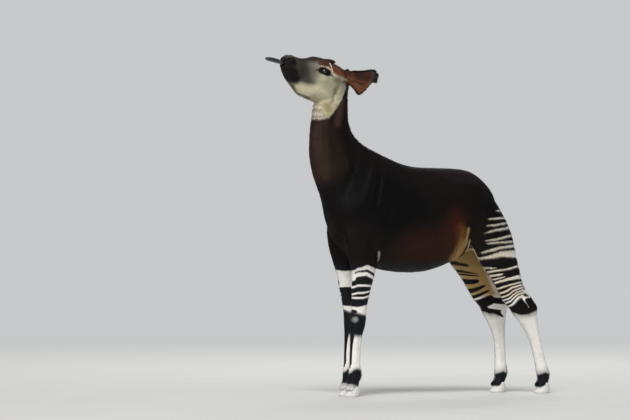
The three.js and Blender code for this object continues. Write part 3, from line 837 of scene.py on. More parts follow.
def marks_group() -> Tree:
    """The coat's colours: bands and tints read from the vertices, ragged at their edges.

    Returns:
        A group with inputs Ragged, Soft and Contrast, and the output Colour.
    """
    inputs = {"Ragged": 0.16, "Soft": 0.22, "Contrast": 0.3}
    wire, start, end = grouped("coat marks", inputs, {"Colour": "Color"})
    count = wire.stored("band_count")
    off = wire.math("ABSOLUTE", wire.math("SUBTRACT", count, wire.math("ROUND", count)))
    off = wire.math("MULTIPLY", off, 2.0)
    hairs = wire.math("SUBTRACT", wire.noise(420, 2), 0.5)
    edge = wire.math("ADD", wire.stored("band_limit"), wire.math("MULTIPLY", hairs, start["Ragged"]))
    inside = wire.math("DIVIDE", wire.math("SUBTRACT", edge, off), start["Soft"])
    light = wire.spread(inside, -0.5, 0.5, 0.0, 1.0)
    base = wire.mixed(light, wire.stored("dark_tint", "Color"), wire.stored("light_tint", "Color"))
    clumps = wire.math("SUBTRACT", wire.noise(38, 4), 0.5)
    strands = wire.math("SUBTRACT", wire.noise(700, 2), 0.5)
    change = wire.math("ADD", wire.math("MULTIPLY", clumps, 0.8), strands)
    shade = wire.math("ADD", wire.math("MULTIPLY", change, start["Contrast"]), 1.0)
    grey = wire.add("CombineColor", Red=shade, Green=shade, Blue=shade).outputs[0]
    wire.feed(end, Colour=wire.mixed(1.0, base, grey, "MULTIPLY"))
    return wire.tree


def hair_group() -> Tree:
    """The fine relief of short hair that lies flat.

    Returns:
        A group with inputs Fine and Clumped, and outputs Height and Gloss.
    """
    outputs = {"Height": "Float", "Gloss": "Float"}
    wire, start, end = grouped("hair relief", {"Fine": 0.6, "Clumped": 0.4}, outputs)
    along = wire.add("Mapping", Vector=wire.place(), Scale=(1.0, 1.6, 0.35)).outputs[0]
    fine = wire.math("MULTIPLY", wire.noise(900, 2, along), start["Fine"])
    clumped = wire.math("MULTIPLY", wire.noise(160, 4, along), start["Clumped"])
    gloss = wire.spread(wire.noise(14, 3), 0.3, 0.7, -0.06, 0.06)
    wire.feed(end, Height=wire.math("ADD", fine, clumped), Gloss=gloss)
    return wire.tree


def growth_group() -> Tree:
    """Growth lines of horn: rings along one direction, broken by fine lengthwise grain.

    Returns:
        A group with inputs Rings, Grain and Wear, and outputs Height and Shade.
    """
    inputs = {"Rings": 260.0, "Grain": 500.0, "Wear": 0.5}
    wire, start, end = grouped("growth lines", inputs, {"Height": "Float", "Shade": "Float"})
    shape = {"Scale": start["Rings"], "Distortion": 2.5, "Detail": 3}
    rings = wire.add("TexWave", {"bands_direction": "Z"}, Vector=wire.place(), **shape)
    upright = wire.add("Mapping", Vector=wire.place(), Scale=(1.0, 1.0, 0.12)).outputs[0]
    grain = wire.noise(start["Grain"], 3, upright)
    ringed = wire.math("MULTIPLY", rings.outputs["Fac"], 0.6)
    worn = wire.math("MULTIPLY", wire.noise(60, 4), start["Wear"])
    height = wire.math("ADD", ringed, wire.math("MULTIPLY", grain, 0.4))
    wire.feed(end, Height=height, Shade=wire.math("ADD", wire.math("MULTIPLY", grain, 0.6), worn))
    return wire.tree


@dataclass
class Finishes:
    """The groups that the materials share."""

    marks: Tree = field(default_factory=marks_group)
    hair: Tree = field(default_factory=hair_group)
    horn: Tree = field(default_factory=growth_group)


def begun(name: str, **constants: object) -> tuple[Material, Wiring, Node]:
    """A material with a Principled shader.

    Args:
        name: The material's name.
        **constants: The shader's values that are the same all over the surface.

    Returns:
        The material, its wiring and the shader.
    """
    material = bpy.data.materials.new(name)
    material.use_nodes = True
    wire = Wiring(material.node_tree)
    return material, wire, wire.feed(material.node_tree.nodes["Principled BSDF"], **constants)


@dataclass(frozen=True)
class CoatFinish:
    """Short sleek hair."""

    name: str
    rough: float = 0.52
    bare_rough: float = 0.34
    bump: float = 0.35
    bump_size: float = 0.0012
    sheen: float = 0.02
    contrast: float = 0.35
    gloss: float = 0.13

    def made(self, shared: Finishes) -> Material:
        """The material."""
        sheen = {"Sheen_Weight": self.sheen, "Sheen_Roughness": 0.45, "Sheen_Tint": (0.78, 0.68, 0.85, 1)}
        material, wire, shader = begun(self.name, Specular_IOR_Level=self.gloss, **sheen)
        marks = wire.add("Group", {"node_tree": shared.marks}, Contrast=self.contrast)
        hair = wire.add("Group", {"node_tree": shared.hair})
        rough = wire.spread(wire.stored("bare"), 0, 1, self.rough, self.bare_rough)
        rough = wire.math("ADD", rough, hair.outputs["Gloss"])
        bump = wire.add("Bump", Strength=self.bump, Distance=self.bump_size, Height=hair.outputs["Height"])
        wire.feed(shader, Base_Color=marks.outputs["Colour"], Roughness=rough, Normal=bump.outputs[0])
        return material


@dataclass(frozen=True)
class Form:
    """A swelling or a groove of the skin along a line, on both sides of the body."""

    start: Triple
    end: Triple
    reach: float
    by: float


def normals_of(points: Array, faces: Array) -> Array:
    """Outward directions at the points of a triangle mesh."""
    corners = points[faces]
    across = np.cross(corners[:, 1] - corners[:, 0], corners[:, 2] - corners[:, 0])
    total = np.zeros_like(points)
    for corner in range(3):
        for axis in range(3):
            total[:, axis] += np.bincount(faces[:, corner], across[:, axis], len(points))
    return unit(total)


@dataclass
class Neighbours:
    """Which points of a triangle mesh are joined by an edge."""

    faces: Array
    size: int

    def __post_init__(self) -> None:
        """Lists the edges in both directions, in the order of their first point."""
        pairs = np.stack([self.faces, np.roll(self.faces, 1, axis=1)], axis=-1).reshape(-1, 2)
        pairs = np.concatenate([pairs, pairs[:, ::-1]])
        keys = np.unique(pairs[:, 0].astype(np.int64) * self.size + pairs[:, 1])
        first, self.other = keys // self.size, keys % self.size
        self.count = np.bincount(first, minlength=self.size)
        self.start = np.minimum(np.cumsum(self.count) - self.count, len(keys) - 1)

    def mean(self, values: Array) -> Array:
        """The mean of each point's neighbours."""
        total = np.add.reduceat(values[self.other], self.start, axis=0)
        return total / np.maximum(self.count, 1)[:, None]

    def lowest(self, values: Array) -> Array:
        """The lowest value among each point and its neighbours."""
        return np.minimum(values, np.minimum.reduceat(values[self.other], self.start))


def eased(points: Array, faces: Array, weight: Array, rounds: int) -> Array:
    """Smooths a surface by drawing each point towards its neighbours.

    Args:
        points: The surface's points.
        faces: Its triangles.
        weight: How far each point moves, up to 1.
        rounds: How often.

    Returns:
        The new points.
    """
    joins = Neighbours(faces, len(points))
    for _ in range(rounds):
        points = points + (joins.mean(points) - points) * weight[:, None]
    return points


def triangles(mesh: Mesh) -> Array:
    """The corner numbers of a mesh's triangles."""
    mesh.calc_loop_triangles()
    out = np.empty(len(mesh.loop_triangles) * 3, np.int32)
    mesh.loop_triangles.foreach_get("vertices", out)
    return out.reshape(-1, 3)


def positions(mesh: Mesh) -> Array:
    """The places of a mesh's vertices, in its own units."""
    out = np.empty(len(mesh.vertices) * 3, np.float32)
    mesh.vertices.foreach_get("co", out)
    return out.reshape(-1, 3).astype(float)


def triangle_mesh(name: str, points: Array, faces: Array) -> Mesh:
    """A smooth mesh of many triangles.

    Args:
        name: The mesh's name.
        points: Places.
        faces: Three corners a triangle.

    Returns:
        The mesh.
    """
    mesh = bpy.data.meshes.new(name)
    mesh.vertices.add(len(points))
    mesh.vertices.foreach_set("co", Own.to_row(points).astype(np.float32).ravel())
    mesh.loops.add(faces.size)
    mesh.loops.foreach_set("vertex_index", faces.astype(np.int32).ravel())
    mesh.polygons.add(len(faces))
    mesh.polygons.foreach_set("loop_start", np.arange(0, faces.size, 3, dtype=np.int32))
    mesh.update(calc_edges=True)
    mesh.shade_smooth()
    return mesh


def changed(mesh: Mesh, kind: str, **settings: object) -> Mesh:
    """A mesh after one modifier.

    Args:
        mesh: The old mesh, which is removed.
        kind: The modifier's type.
        **settings: The modifier's values.

    Returns:
        The new mesh.
    """
    holder = in_scene("working", mesh)
    modifier = holder.modifiers.new("change", kind)
    for key, value in settings.items():
        setattr(modifier, key, value)
    graph = bpy.context.evaluated_depsgraph_get()
    result = bpy.data.meshes.new_from_object(holder.evaluated_get(graph))
    bpy.data.objects.remove(holder)
    bpy.data.meshes.remove(mesh)
    return result


@dataclass
class Ear:
    """A cupped leaf, broad at its end, that grows from behind the cheek."""

    side: int
    root: Triple = (-640, 66, 2052)
    along: Triple = (0.62, 0.74, -0.2)
    across: Triple = (0.42, -0.28, 0.86)
    length: float = 212
    cup: float = 30
    sunk: float = 0.13
    edge: Table = (
        (36, 30), (43, 50), (50, 66), (58, 89), (69, 112), (84, 76), (88, 14), (62, -34),
    )
    rows: int = 54
    columns: int = 34

    def frame(self) -> tuple[Array, Array, Array, Array]:
        """The ear's root and its directions: along, across and out of its inner face."""
        along = unit(mirrored(self.along, self.side))
        across = unit(mirrored(self.across, self.side))
        return mirrored(self.root, self.side), along, across, unit(np.cross(along, across)) * -self.side

    def halves(self, share: Array) -> tuple[Array, Array]:
        """How far the leaf reaches up and down from its middle line, at shares of its length."""
        return tuple(np.interp(share, np.linspace(0, 1, 60), column) for column in filled(self.edge, 60).T)

    def sheet(self, share: Array, t: Array, lift: Array) -> Array:
        """Places on or beside the middle of the leaf.

        Args:
            share: Of the length, from the root.
            t: From -1 at the lower rim to 1 at the upper.
            lift: How far out of the inner face.

        Returns:
            Places.
        """
        root, along, across, outward = self.frame()
        high, low = self.halves(share)
        y = np.where(t > 0, t * high, t * low)
        bend = np.sin(math.pi * np.minimum(1, 0.25 + np.maximum(share, 0))) ** 0.7
        hollow = self.cup * bend * (t * t - 0.75) + 2.5 * ramp(np.abs(t), 0.86, 1.0)
        place = root + along * (self.length * share)[..., None] + across * y[..., None]
        return place + outward * (hollow + lift)[..., None]

    def place_of(self, points: Array) -> tuple[Array, Array, Array]:
        """Where points lie on the ear.

        Args:
            points: Places.

        Returns:
            The share of its length, the share across from -1 to 1, and the height over its middle.
        """
        root, along, across, outward = self.frame()
        rel = points - root
        skew = along @ across
        far, wide = rel @ along, rel @ across
        share, y = (far - skew * wide) / (1 - skew**2) / self.length, (wide - skew * far) / (1 - skew**2)
        high, low = self.halves(share)
        t = np.where(y > 0, y / high, y / np.where(np.abs(low) < 20, 60.0, low))
        sheet = self.sheet(np.clip(share, 0, 1), np.clip(t, -1, 1), np.zeros_like(t))
        return share, t, (points - sheet) @ outward

    def holds(self, points: Array) -> Array:
        """One where points lie on the ear, nothing elsewhere."""
        share, t, lift = self.place_of(points)
        return ((share > 0.05) & (share < 1.15) & (np.abs(t) < 1.3) & (np.abs(lift) < 26)).astype(float)

    def shell(self) -> Shell:
        """The ear as a closed surface, with a thick root and thin rims."""
        wide = np.sin(np.linspace(-1, 1, self.columns) * math.pi / 2)
        share, t = np.meshgrid(np.linspace(-self.sunk, 1, self.rows), wide, indexing="ij")
        half = np.interp(share, (-0.1, 0, 0.2, 0.5, 1), (12, 9, 5, 2.6, 1.6)) * (1 - 0.6 * np.abs(t) ** 3)
        ridges = 0.9 * np.cos(t * 9) * ramp(share, 0.1, 0.3) * (1 - ramp(share, 0.6, 0.9)) * (1 - t * t)
        inner = self.sheet(share, t, half + ridges)
        outer = self.sheet(share, t, -half)
        return loft(np.concatenate([inner, outer[:, ::-1]], axis=1)).turned_out()


@dataclass
class Lids:
    """The lids of one eye, modelled round its opening and let into the skin."""

    side: int
    gaze: Triple = (-0.2, 0.97, 0.16)
    slope: float = math.radians(24)
    opening: Pair = (19.5, 12.5)
    outer: Pair = (41, 35)
    around: int = 112

    def frame(self) -> tuple[Array, Array, Array, Array]:
        """The eye's middle and its directions: to the rear corner, to the upper lid and outward."""
        gaze = unit(mirrored(self.gaze, self.side))
        rear = np.array([math.cos(self.slope), 0, -math.sin(self.slope)])
        rear = unit(rear - gaze * (rear @ gaze))
        up = np.cross(gaze, rear) * self.side
        return mirrored(EYE_AT, self.side), rear, up * (1 if up[2] > 0 else -1), gaze

    def margin(self, angle: Array) -> tuple[Array, Array]:
        """The edge of the opening: an almond, fuller above, with a drawn-out front corner."""
        long, high = self.opening
        cos, sin = np.cos(angle), np.sin(angle)
        x = long * cos * (1 + 0.1 * (cos < -0.6))
        y = high * np.sign(sin) * np.abs(sin) ** 1.15 * np.where(sin > 0, 1.05, 0.85)
        return x, y

    def shell(self, points: Array, faces: Array) -> Shell:
        """The lids as a surface that ends just under the skin.

        Args:
            points: The skin's points.
            faces: Its triangles.

        Returns:
            The open surface.
        """
        middle, rear, up, gaze = self.frame()
        angle = np.linspace(0, 2 * math.pi, self.around, endpoint=False)
        mx, my = self.margin(angle)
        ox, oy = self.outer[0] * np.cos(angle), self.outer[1] * np.sin(angle)
        near = (np.linalg.norm(points - middle, axis=1) < 90)[faces].all(axis=1)
        tree = BVHTree.FromPolygons(points.tolist(), faces[near].tolist())
        rings, outer_height = [], []
        for x, y in zip(ox, oy):
            hit = tree.ray_cast(Vector(middle + rear * x + up * y + gaze * 80), Vector(-gaze))[0]
            outer_height.append((np.array(hit) - middle) @ gaze if hit else 0.0)
        outer_height = np.array(outer_height)
        for step in (-0.06, -0.03, *np.linspace(0, 1, 22)):
            share = max(step, 0.0)
            x, y = mx + (ox - mx) * share, my + (oy - my) * share
            over = np.sqrt(EYE_RADIUS**2 - np.minimum(np.hypot(x, y), EYE_RADIUS * 0.9) ** 2)
            rim = 2.4 * math.exp(-(((share - 0.09) / 0.09) ** 2))
            upper = np.clip(np.sin(angle), 0, 1)
            fold = -2.6 * math.exp(-(((share - 0.36) / 0.05) ** 2)) * upper
            fold = fold - 1.5 * math.exp(-(((share - 0.5) / 0.06) ** 2)) * np.clip(-np.sin(angle), 0, 1)
            brow = 2.5 * math.exp(-(((share - 0.55) / 0.14) ** 2)) * upper
            height = blended(over + 1.3, outer_height, ramp(share, 0.12, 0.92)) + rim + fold + brow
            if step < 0:
                height = over + 1.3 + 45 * step
            if step >= 0.98:
                height = outer_height - 1.6
            rings.append(middle + rear * x[:, None] + up * y[:, None] + gaze * height[:, None])
        shell = loft(np.array(rings), ends=(False, False))
        face = shell.points[list(shell.faces[self.around * 8])]
        if np.cross(face[1] - face[0], face[2] - face[0]) @ gaze < 0:
            shell.faces = [tuple(reversed(f)) for f in shell.faces]
        return shell


# How a triangle is split: a sum of 1, 2 and 4 for its halved edges, then corners and middles.
SPLITS = (
    (0, [0, 1, 2]), (7, [0, 3, 5]), (7, [3, 1, 4]), (7, [5, 4, 2]), (7, [3, 4, 5]), (1, [0, 3, 2]),
    (1, [3, 1, 2]), (3, [0, 3, 2]), (3, [3, 4, 2]), (3, [3, 1, 4]), (2, [1, 4, 0]), (2, [4, 2, 0]),
    (6, [1, 4, 0]), (6, [4, 5, 0]), (6, [4, 2, 5]), (4, [2, 5, 1]), (4, [5, 0, 1]), (5, [2, 5, 1]),
    (5, [5, 3, 1]), (5, [5, 0, 3]),
)


@dataclass
class Skin:
    """One skin over the whole body, which lies inside the solids by the coat's depth."""

    nodes: tuple[str, ...] = (
        *("torso", "neck", "head", "tail"),
        *(f"{leg.name}_{part}" for leg in LEGS for part in ("upper", "cannon", "pastern")),
    )
    voxel: float = 0.006
    filler: Table = (
        (-1056, 2160, -1048, 2090, 34), (-1032, 2178, -1022, 2032, 44), (-1002, 2180, -990, 1990, 46),
        (-970, 2168, -956, 1950, 43), (-930, 2158, -924, 1932, 45), (-880, 2150, -876, 1930, 50),
    )
    mouth: Table = ((-1085, 2142), (-1050, 2128), (-1010, 2102), (-975, 2070), (-950, 2042))
    forms: tuple[Form, ...] = each(
        Form, 3,
        (-1050, 42, 2149, -1026, 52, 2166, 8, -8), (-1058, 28, 2162, -1022, 44, 2178, 10, 3.5),
        (-1040, 52, 2146, -1016, 56, 2158, 8, 2.5), (-1066, 0, 2170, -1066, 0, 2118, 5, -2.5),
        (-1040, 48, 2030, -1015, 52, 2012, 18, 3), (-945, 52, 2036, -930, 54, 2020, 9, -3),
        (-846, 84, 2098, -880, 70, 2074, 8, -3), (-815, 86, 2126, -765, 92, 2112, 14, 4),
        (-900, 62, 2032, -790, 92, 2024, 13, 3), (-719, 90, 1975, -737, 84, 1890, 11, -5),
        (-690, 84, 1960, -705, 82, 1900, 20, 3), (-760, 70, 1895, -830, 50, 1885, 22, 4),
        (-880, 0, 1852, -802, 78, 1836, 8, -5), (-884, 0, 1874, -815, 66, 1860, 14, 4),
        (-884, 0, 1830, -806, 74, 1816, 13, 5), (-876, 0, 1806, -800, 78, 1798, 7, -4.5),
        (-880, 0, 1786, -800, 76, 1780, 14, 3), (-650, 58, 2075, -668, 70, 2030, 24, 6),
        (-770, 44, 2150, -740, 46, 2146, 18, 3), (-725, 84, 1700, -640, 104, 1480, 26, 4),
        (-830, 40, 1640, -800, 40, 1450, 16, -4), (252, 205, 905, 226, 215, 1090, 17, -10),
        (280, 205, 900, 262, 210, 1050, 24, 5), (440, 150, 1200, 545, 185, 800, 16, -5),
        (355, 190, 1210, 380, 200, 960, 60, 5), (-390, 190, 1180, -455, 175, 900, 20, -6),
        (-470, 185, 1120, -500, 170, 930, 40, 6), (-600, 150, 1180, -610, 130, 1000, 26, -5),
        (-700, 40, 1150, -660, 60, 1040, 30, 5), (-470, 130, 1470, -560, 160, 1260, 20, 4),
        (-420, 150, 1440, -480, 185, 1240, 18, -7), (-868, 50, 1425, -790, 105, 1500, 10, -3.5),
        (-872, 45, 1385, -800, 110, 1450, 10, -3.5), (-866, 50, 1345, -790, 115, 1400, 10, -3),
        (-795, 72, 1770, -800, 88, 1420, 16, -5), (-690, 84, 1780, -625, 118, 1420, 24, 5),
        (-560, 120, 1560, -700, 150, 1290, 22, -6), (-520, 190, 1120, -560, 175, 930, 30, 6),
        (-230, 215, 1320, -170, 235, 1080, 20, 2.5), (-150, 215, 1320, -90, 235, 1080, 20, 2.5),
        (-70, 215, 1320, -10, 235, 1080, 20, 2.5), (200, 140, 1400, 300, 150, 1330, 22, 4),
    )
    hocks: Table = (
        (150, 0, 0), (250, 8, 8), (326, 14, 12), (378, 12, 14), (429, 3, 18), (502, -13, 22),
        (551, -15, 27), (600, -27, 20), (673, -15, 18), (747, 0, 16), (796, 3, 14), (900, 0, 0),
    )

    def _filling(self) -> Shell:
        """A block inside the muzzle that closes the mouth, which is modelled again later."""
        angle = np.linspace(0, 2 * math.pi, 24, endpoint=False)
        rings = []
        for back_x, back_z, low_x, low_z, half in self.filler:
            up = (np.cos(angle) + 1) / 2
            x, z = low_x + (back_x - low_x) * up, low_z + (back_z - low_z) * up
            rings.append(np.stack([x, half * np.sin(angle), z], axis=1))
        return loft(np.array(rings)).turned_out()

    def _gathered(self) -> Mesh:
        """The solids of flesh, each swollen by a hair so that they touch, with the eyes and the filling."""
        parts = []
        for name in (*self.nodes, "eye_left", "eye_right"):
            shape = bmesh.new()
            shape.from_mesh(frame["nodes"][name].data)
            bmesh.ops.remove_doubles(shape, verts=shape.verts, dist=1e-6)
            shape.normal_update()
            points = np.array([v.co + v.normal * 0.0004 for v in shape.verts])
            parts.append(Shell(Own.of_row(points), [[v.index for v in f.verts] for f in shape.faces]))
            shape.free()
        return joined([*parts, self._filling()]).mesh("gathered")

    def _largest(self, mesh: Mesh) -> tuple[Array, Array]:
        """The points and triangles of the largest closed part of a mesh."""
        points, faces = Own.of_row(positions(mesh)), triangles(mesh)
        label = np.arange(len(points))
        joins = Neighbours(faces, len(points))
        while True:
            lowest = joins.lowest(label)
            lowest = lowest[lowest]
            if (lowest == label).all():
                break
            label = lowest
        kept = label == np.bincount(label).argmax()
        number = np.cumsum(kept) - 1
        return points[kept], number[faces[kept[faces[:, 0]]]]

    def _softness(self, points: Array) -> Array:
        """How strongly each place is smoothed: most on the trunk, least on the head and the feet."""
        x, y, z = points.T
        weight = 0.04 + 0.2 * ramp(z, 450, 700) + 0.66 * ramp(z, 760, 1000)
        head = ramp(z - np.interp(x, (-900, -560), (1750, 1990)), -60, 60) * ramp(-x, 540, 620)
        tail = ramp(x, 440, 462) * (1 - ramp(np.abs(y), 34, 46)) * (1 - ramp(z, 1230, 1290))
        return weight * (1 - 0.93 * head) * (1 - 0.95 * tail)

    def _refined(self, points: Array, faces: Array, where: Array) -> tuple[Array, Array]:
        """Splits the triangles at chosen points into four.

        Args:
            points: The surface's points.
            faces: Its triangles.
            where: Whether the surface is refined at each point.

        Returns:
            The finer points and triangles.
        """
        pairs = np.sort(np.concatenate([faces[:, [0, 1]], faces[:, [1, 2]], faces[:, [2, 0]]]), axis=1)
        unique, back = np.unique(pairs, axis=0, return_inverse=True)
        split = where[unique].any(axis=1)
        number = np.where(split, len(points) + np.cumsum(split) - 1, -1)
        points = np.vstack([points, points[unique[split]].mean(axis=1)])
        corners = np.column_stack([faces, number[back.reshape(3, -1)].T])
        code = (corners[:, 3:] >= 0) @ (1, 2, 4)
        return points, np.concatenate([corners[code == kind][:, chosen] for kind, chosen in SPLITS])

    def _eared(self, points: Array, faces: Array) -> tuple[Array, Array]:
        """The skin with both ears joined to it and their roots smoothed in."""
        mesh = triangle_mesh("with ears", points, faces)
        for side in (LEFT, RIGHT):
            leaf = in_scene("leaf", Ear(side).shell().mesh("leaf"))
            mesh = changed(mesh, "BOOLEAN", operation="UNION", solver="MANIFOLD", object=leaf)
            bpy.data.objects.remove(leaf)
        points, faces = Own.of_row(positions(mesh)), triangles(mesh)
        for side in (LEFT, RIGHT):
            root, along, _, _ = Ear(side).frame()
            away = np.linalg.norm(points - root - along * 18, axis=1)
            points = eased(points, faces, 0.5 * (1 - ramp(away, 36, 56)), 7)
        return points, faces

    def _broadened(self, points: Array) -> Array:
        """The hocks and shins of the hind legs drawn out forwards and backwards."""
        x, y, z = points.T
        heights, fronts, rears = zip(*self.hocks)
        front, rear = np.interp(z, heights, fronts), np.interp(z, heights, rears)
        for leg in LEGS[2:]:
            middle, out, deep, wide = leg.at(z)
            share = (x - middle + deep + front) / (2 * deep + front - rear)
            mine = (np.abs(y * leg.side - out) < 1.8 * wide) & (np.abs(share - 0.5) < 1.1)
            x = x + mine * (front + (rear - front) * np.clip(share, 0, 1))
        return np.column_stack([x, y, z])

    def _sinews(self) -> list[Form]:
        """The grooves beside the sinews of the cannons, and the hollows over the hocks."""
        forms = []
        for leg in LEGS:
            rows = [((490, 200), (0, 0), 9, 0.92, 8, -3.2), ((790, 625), (0.55, 0.42), 0, 0.9, 17, -8)]
            if leg in LEGS[:2]:
                rows = [((430, 215), *rows[0][1:])]
            for heights, backs, ahead, out_share, reach, by in rows:
                for face in (-out_share, out_share):
                    ends = []
                    for height, back in zip(heights, backs):
                        x, out, deep, wide = leg.at(height)
                        ends.append((x + deep * back + ahead, out + face * wide, height))
                    forms.append(Form(*ends, reach, by))
        return forms

    def _sculpted(self, points: Array, faces: Array) -> Array:
        """The folds, muscles and sinews that the solids leave out."""
        points = self._broadened(points)
        normal = normals_of(points, faces)
        for form in (*self.forms, *self._sinews()):
            for side in (LEFT, RIGHT):
                away, _ = off_line(points, mirrored(form.start, side), mirrored(form.end, side))
                near = away < form.reach * 2.4
                push = form.by * np.exp(-((away[near] / form.reach) ** 2))
                if not form.start[1] and side == RIGHT:
                    push = np.where(points[near, 1] < 0, 0, push)
                points[near] += normal[near] * push[:, None]
        return self._mouthed(points, normal)

    def _off_mouth(self, points: Array, line: tuple) -> Array:
        """How far places lie from a line of the mouth, seen from the side."""
        places = points[:, [0, 2]]
        return np.minimum.reduce([off_line(places, start, end)[0] for start, end in zip(line, line[1:])])

    def _mouthed(self, points: Array, normal: Array) -> Array:
        """The line of the mouth pressed in, with the lips swelling on both sides of it."""
        x, y, z = points.T
        away = self._off_mouth(points, self.mouth)
        front = ramp(-x, 1035, 1058) * (1 - ramp(np.abs(y), 16, 30))
        wide = 2.6 + 7.5 * front
        deep = (4.6 + 9 * front) * np.exp(-((away / wide) ** 2))
        lip = 2.6 * np.exp(-(((away - wide - 6) / 5) ** 2))
        head = ramp(-x, 930, 950) * ramp(z, 1990, 2010)
        return points + normal * ((lip - deep) * head)[:, None]

    def _socketed(self, points: Array, lids: Lids) -> Array:
        """The skin drawn in behind the eye, where the lids cover it."""
        middle, _, _, gaze = lids.frame()
        rel = points - middle
        out = rel @ gaze
        flat = np.linalg.norm(rel - out[:, None] * gaze, axis=1)
        near = (flat < 34) & (out > -12) & (out < 60)
        length = np.linalg.norm(rel, axis=1)
        goal = middle + rel * ((EYE_RADIUS - 5) / np.maximum(length, 1e-6))[:, None]
        return blended(points, goal, (1 - ramp(flat, 22, 33)) * near)

    def _depth(self, points: Array) -> Array:
        """How thick the coat lies over each place."""
        x, _, z = points.T
        depth = (1.2 + 1.5 * ramp(z, 560, 900)) * (1 - 0.6 * ramp(-x, 640, 760) * ramp(z, 1760, 1860))
        for side in (LEFT, RIGHT):
            root, along, _, _ = Ear(side).frame()
            depth = depth * (1 - ramp((points - root) @ along, 10, 40) * ramp(z, 1850, 1900))
        return depth

    def _surface(self) -> tuple[Array, Array]:
        """The points and triangles of the whole skin."""
        mesh = changed(self._gathered(), "REMESH", mode="VOXEL", voxel_size=self.voxel)
        points, faces = self._largest(mesh)
        points = eased(points, faces, 0.5 * self._softness(points), 70)
        x, _, z = points.T
        head = (x < -590) & (z > np.interp(x, (-900, -560), (1750, 1960)))
        points, faces = self._refined(points, faces, head)
        points = eased(points, faces, 0.5 * (points[:, 0] < -590) * (points[:, 2] > 1740), 3)
        points, faces = self._eared(points, faces)
        points = self._sculpted(points, faces)
        points = points - normals_of(points, faces) * self._depth(points)[:, None]
        both = [Lids(side) for side in (LEFT, RIGHT)]
        shells = [lids.shell(points, faces) for lids in both]
        for lids in both:
            points = self._socketed(points, lids)
        for shell in shells:
            quads = np.array(shell.faces)
            more = np.concatenate([quads[:, [0, 1, 2]], quads[:, [0, 2, 3]]]) + len(points)
            points, faces = np.vstack([points, shell.points]), np.concatenate([faces, more])
        return points, faces

    def bareness(self, points: Array) -> Array:
        """Where the skin is bare and moist: nostrils, lips and the edges of the lids."""
        nose, _ = off_line(outwards(points), (-1060, 10, 2150), (-1040, 46, 2156))
        lip = self._off_mouth(points, self.mouth[::2])
        head = ramp(-points[:, 0], 945, 960) * ramp(points[:, 2], 2000, 2020)
        bare = np.maximum(1 - ramp(nose, 14, 26), (1 - ramp(lip, 4, 10)) * head)
        for side in (LEFT, RIGHT):
            middle, rear, up, gaze = Lids(side).frame()
            rel = points - middle
            oval = np.hypot(rel @ rear / Lids.opening[0], rel @ up / Lids.opening[1])
            bare = np.maximum(bare, (1 - ramp(oval, 1.12, 1.4)) * (np.linalg.norm(rel, axis=1) < 45))
        return bare

    def build(self, marks: Marks, material: Material) -> Piece:
        """Makes the skin's piece.

        Args:
            marks: The colours of the coat.
            material: What the skin is made of.

        Returns:
            The object.
        """
        points, faces = self._surface()
        mesh = triangle_mesh("skin", points, faces)
        marks.store(mesh, points)
        keep_attribute(mesh, "bare", "FLOAT", self.bareness(points))
        return shown(mesh, "skin", material, "body_coat", *self.nodes, "ear_left", "ear_right")


@dataclass(frozen=True)
class Growth:
    """How the coat grows near a line, on both sides: its tufts' length, lift and number."""

    start: Triple
    end: Triple
    reach: float
    length: float
    lift: float
    number: float = 1.0


@dataclass(frozen=True)
class Seed:
    """Which way the hair lies at one place, with y counted outwards."""

    place: Triple
    way: Triple


@dataclass
class Lie:
    """The direction of the coat."""

    seeds: tuple[Seed, ...] = each(
        Seed, 3,
        (-1050, 20, 2150, 1, 0.05, 0.0), (-960, 40, 2180, 1, 0.05, 0.0),
        (-1000, 60, 2060, 0.9, 0, -0.35), (-980, 10, 1985, 0.85, 0, -0.5),
        (-860, 10, 1905, 0.8, 0, -0.6), (-880, 75, 2060, 1, 0, -0.25), (-800, 80, 1970, 0.7, 0, -0.7),
        (-780, 30, 2155, 1, 0.1, 0.0), (-715, 60, 2070, 1, 0, -0.35), (-640, 40, 2080, 0.6, 0.3, -0.8),
        (-830, 40, 1830, 0.15, 0, -1), (-890, 10, 1600, 0.05, 0, -1), (-760, 80, 1600, 0.25, 0, -1),
        (-620, 10, 1850, 0.2, 0, -1), (-560, 10, 1600, 0.55, 0, -0.85), (-800, 60, 1280, 0.1, 0.1, -1),
        (-570, 180, 1300, 0.45, 0, -0.9), (-620, 20, 980, 0.6, 0, -0.5), (-350, 10, 1490, 1, 0.1, -0.35),
        (0, 10, 1470, 1, 0.15, 0), (-50, 230, 1200, 0.8, 0, -0.6), (-100, 60, 930, 1, 0, 0),
        (300, 20, 1460, 1, 0.1, -0.4), (420, 100, 1330, 0.55, 0, -0.85), (330, 180, 1100, 0.35, 0, -1),
        (180, 180, 1000, 0.35, 0, -0.95), (-560, 130, 950, 0.1, 0, -1),
    )

    def at(self, points: Array, normals: Array) -> Array:
        """The way of the hair at places on the skin.

        Args:
            points: The places.
            normals: The skin's outward directions there.

        Returns:
            Directions along the skin.
        """
        x, y, z = points.T
        turned = np.where(points[:, 1:2] < 0, (1, -1, 1), 1)
        total = np.zeros_like(points)
        for seed in self.seeds:
            weight = 1 / (((points * turned - seed.place) ** 2).sum(axis=1) + 1600) ** 2
            total += weight[:, None] * unit(np.array(seed.way, float))
        tail = ramp(x, 425, 455) * ramp(z, 900, 960) * (np.abs(y) < 40)
        low = np.maximum(ramp(-z, -900, -760), tail)
        total = blended(unit(total), (0.1, 0, -1.0), low) * turned
        for ear in (Ear(LEFT), Ear(RIGHT)):
            total = blended(total, ear.frame()[1], ear.holds(points))
        return unit(total - normals * (total * normals).sum(axis=1)[:, None])


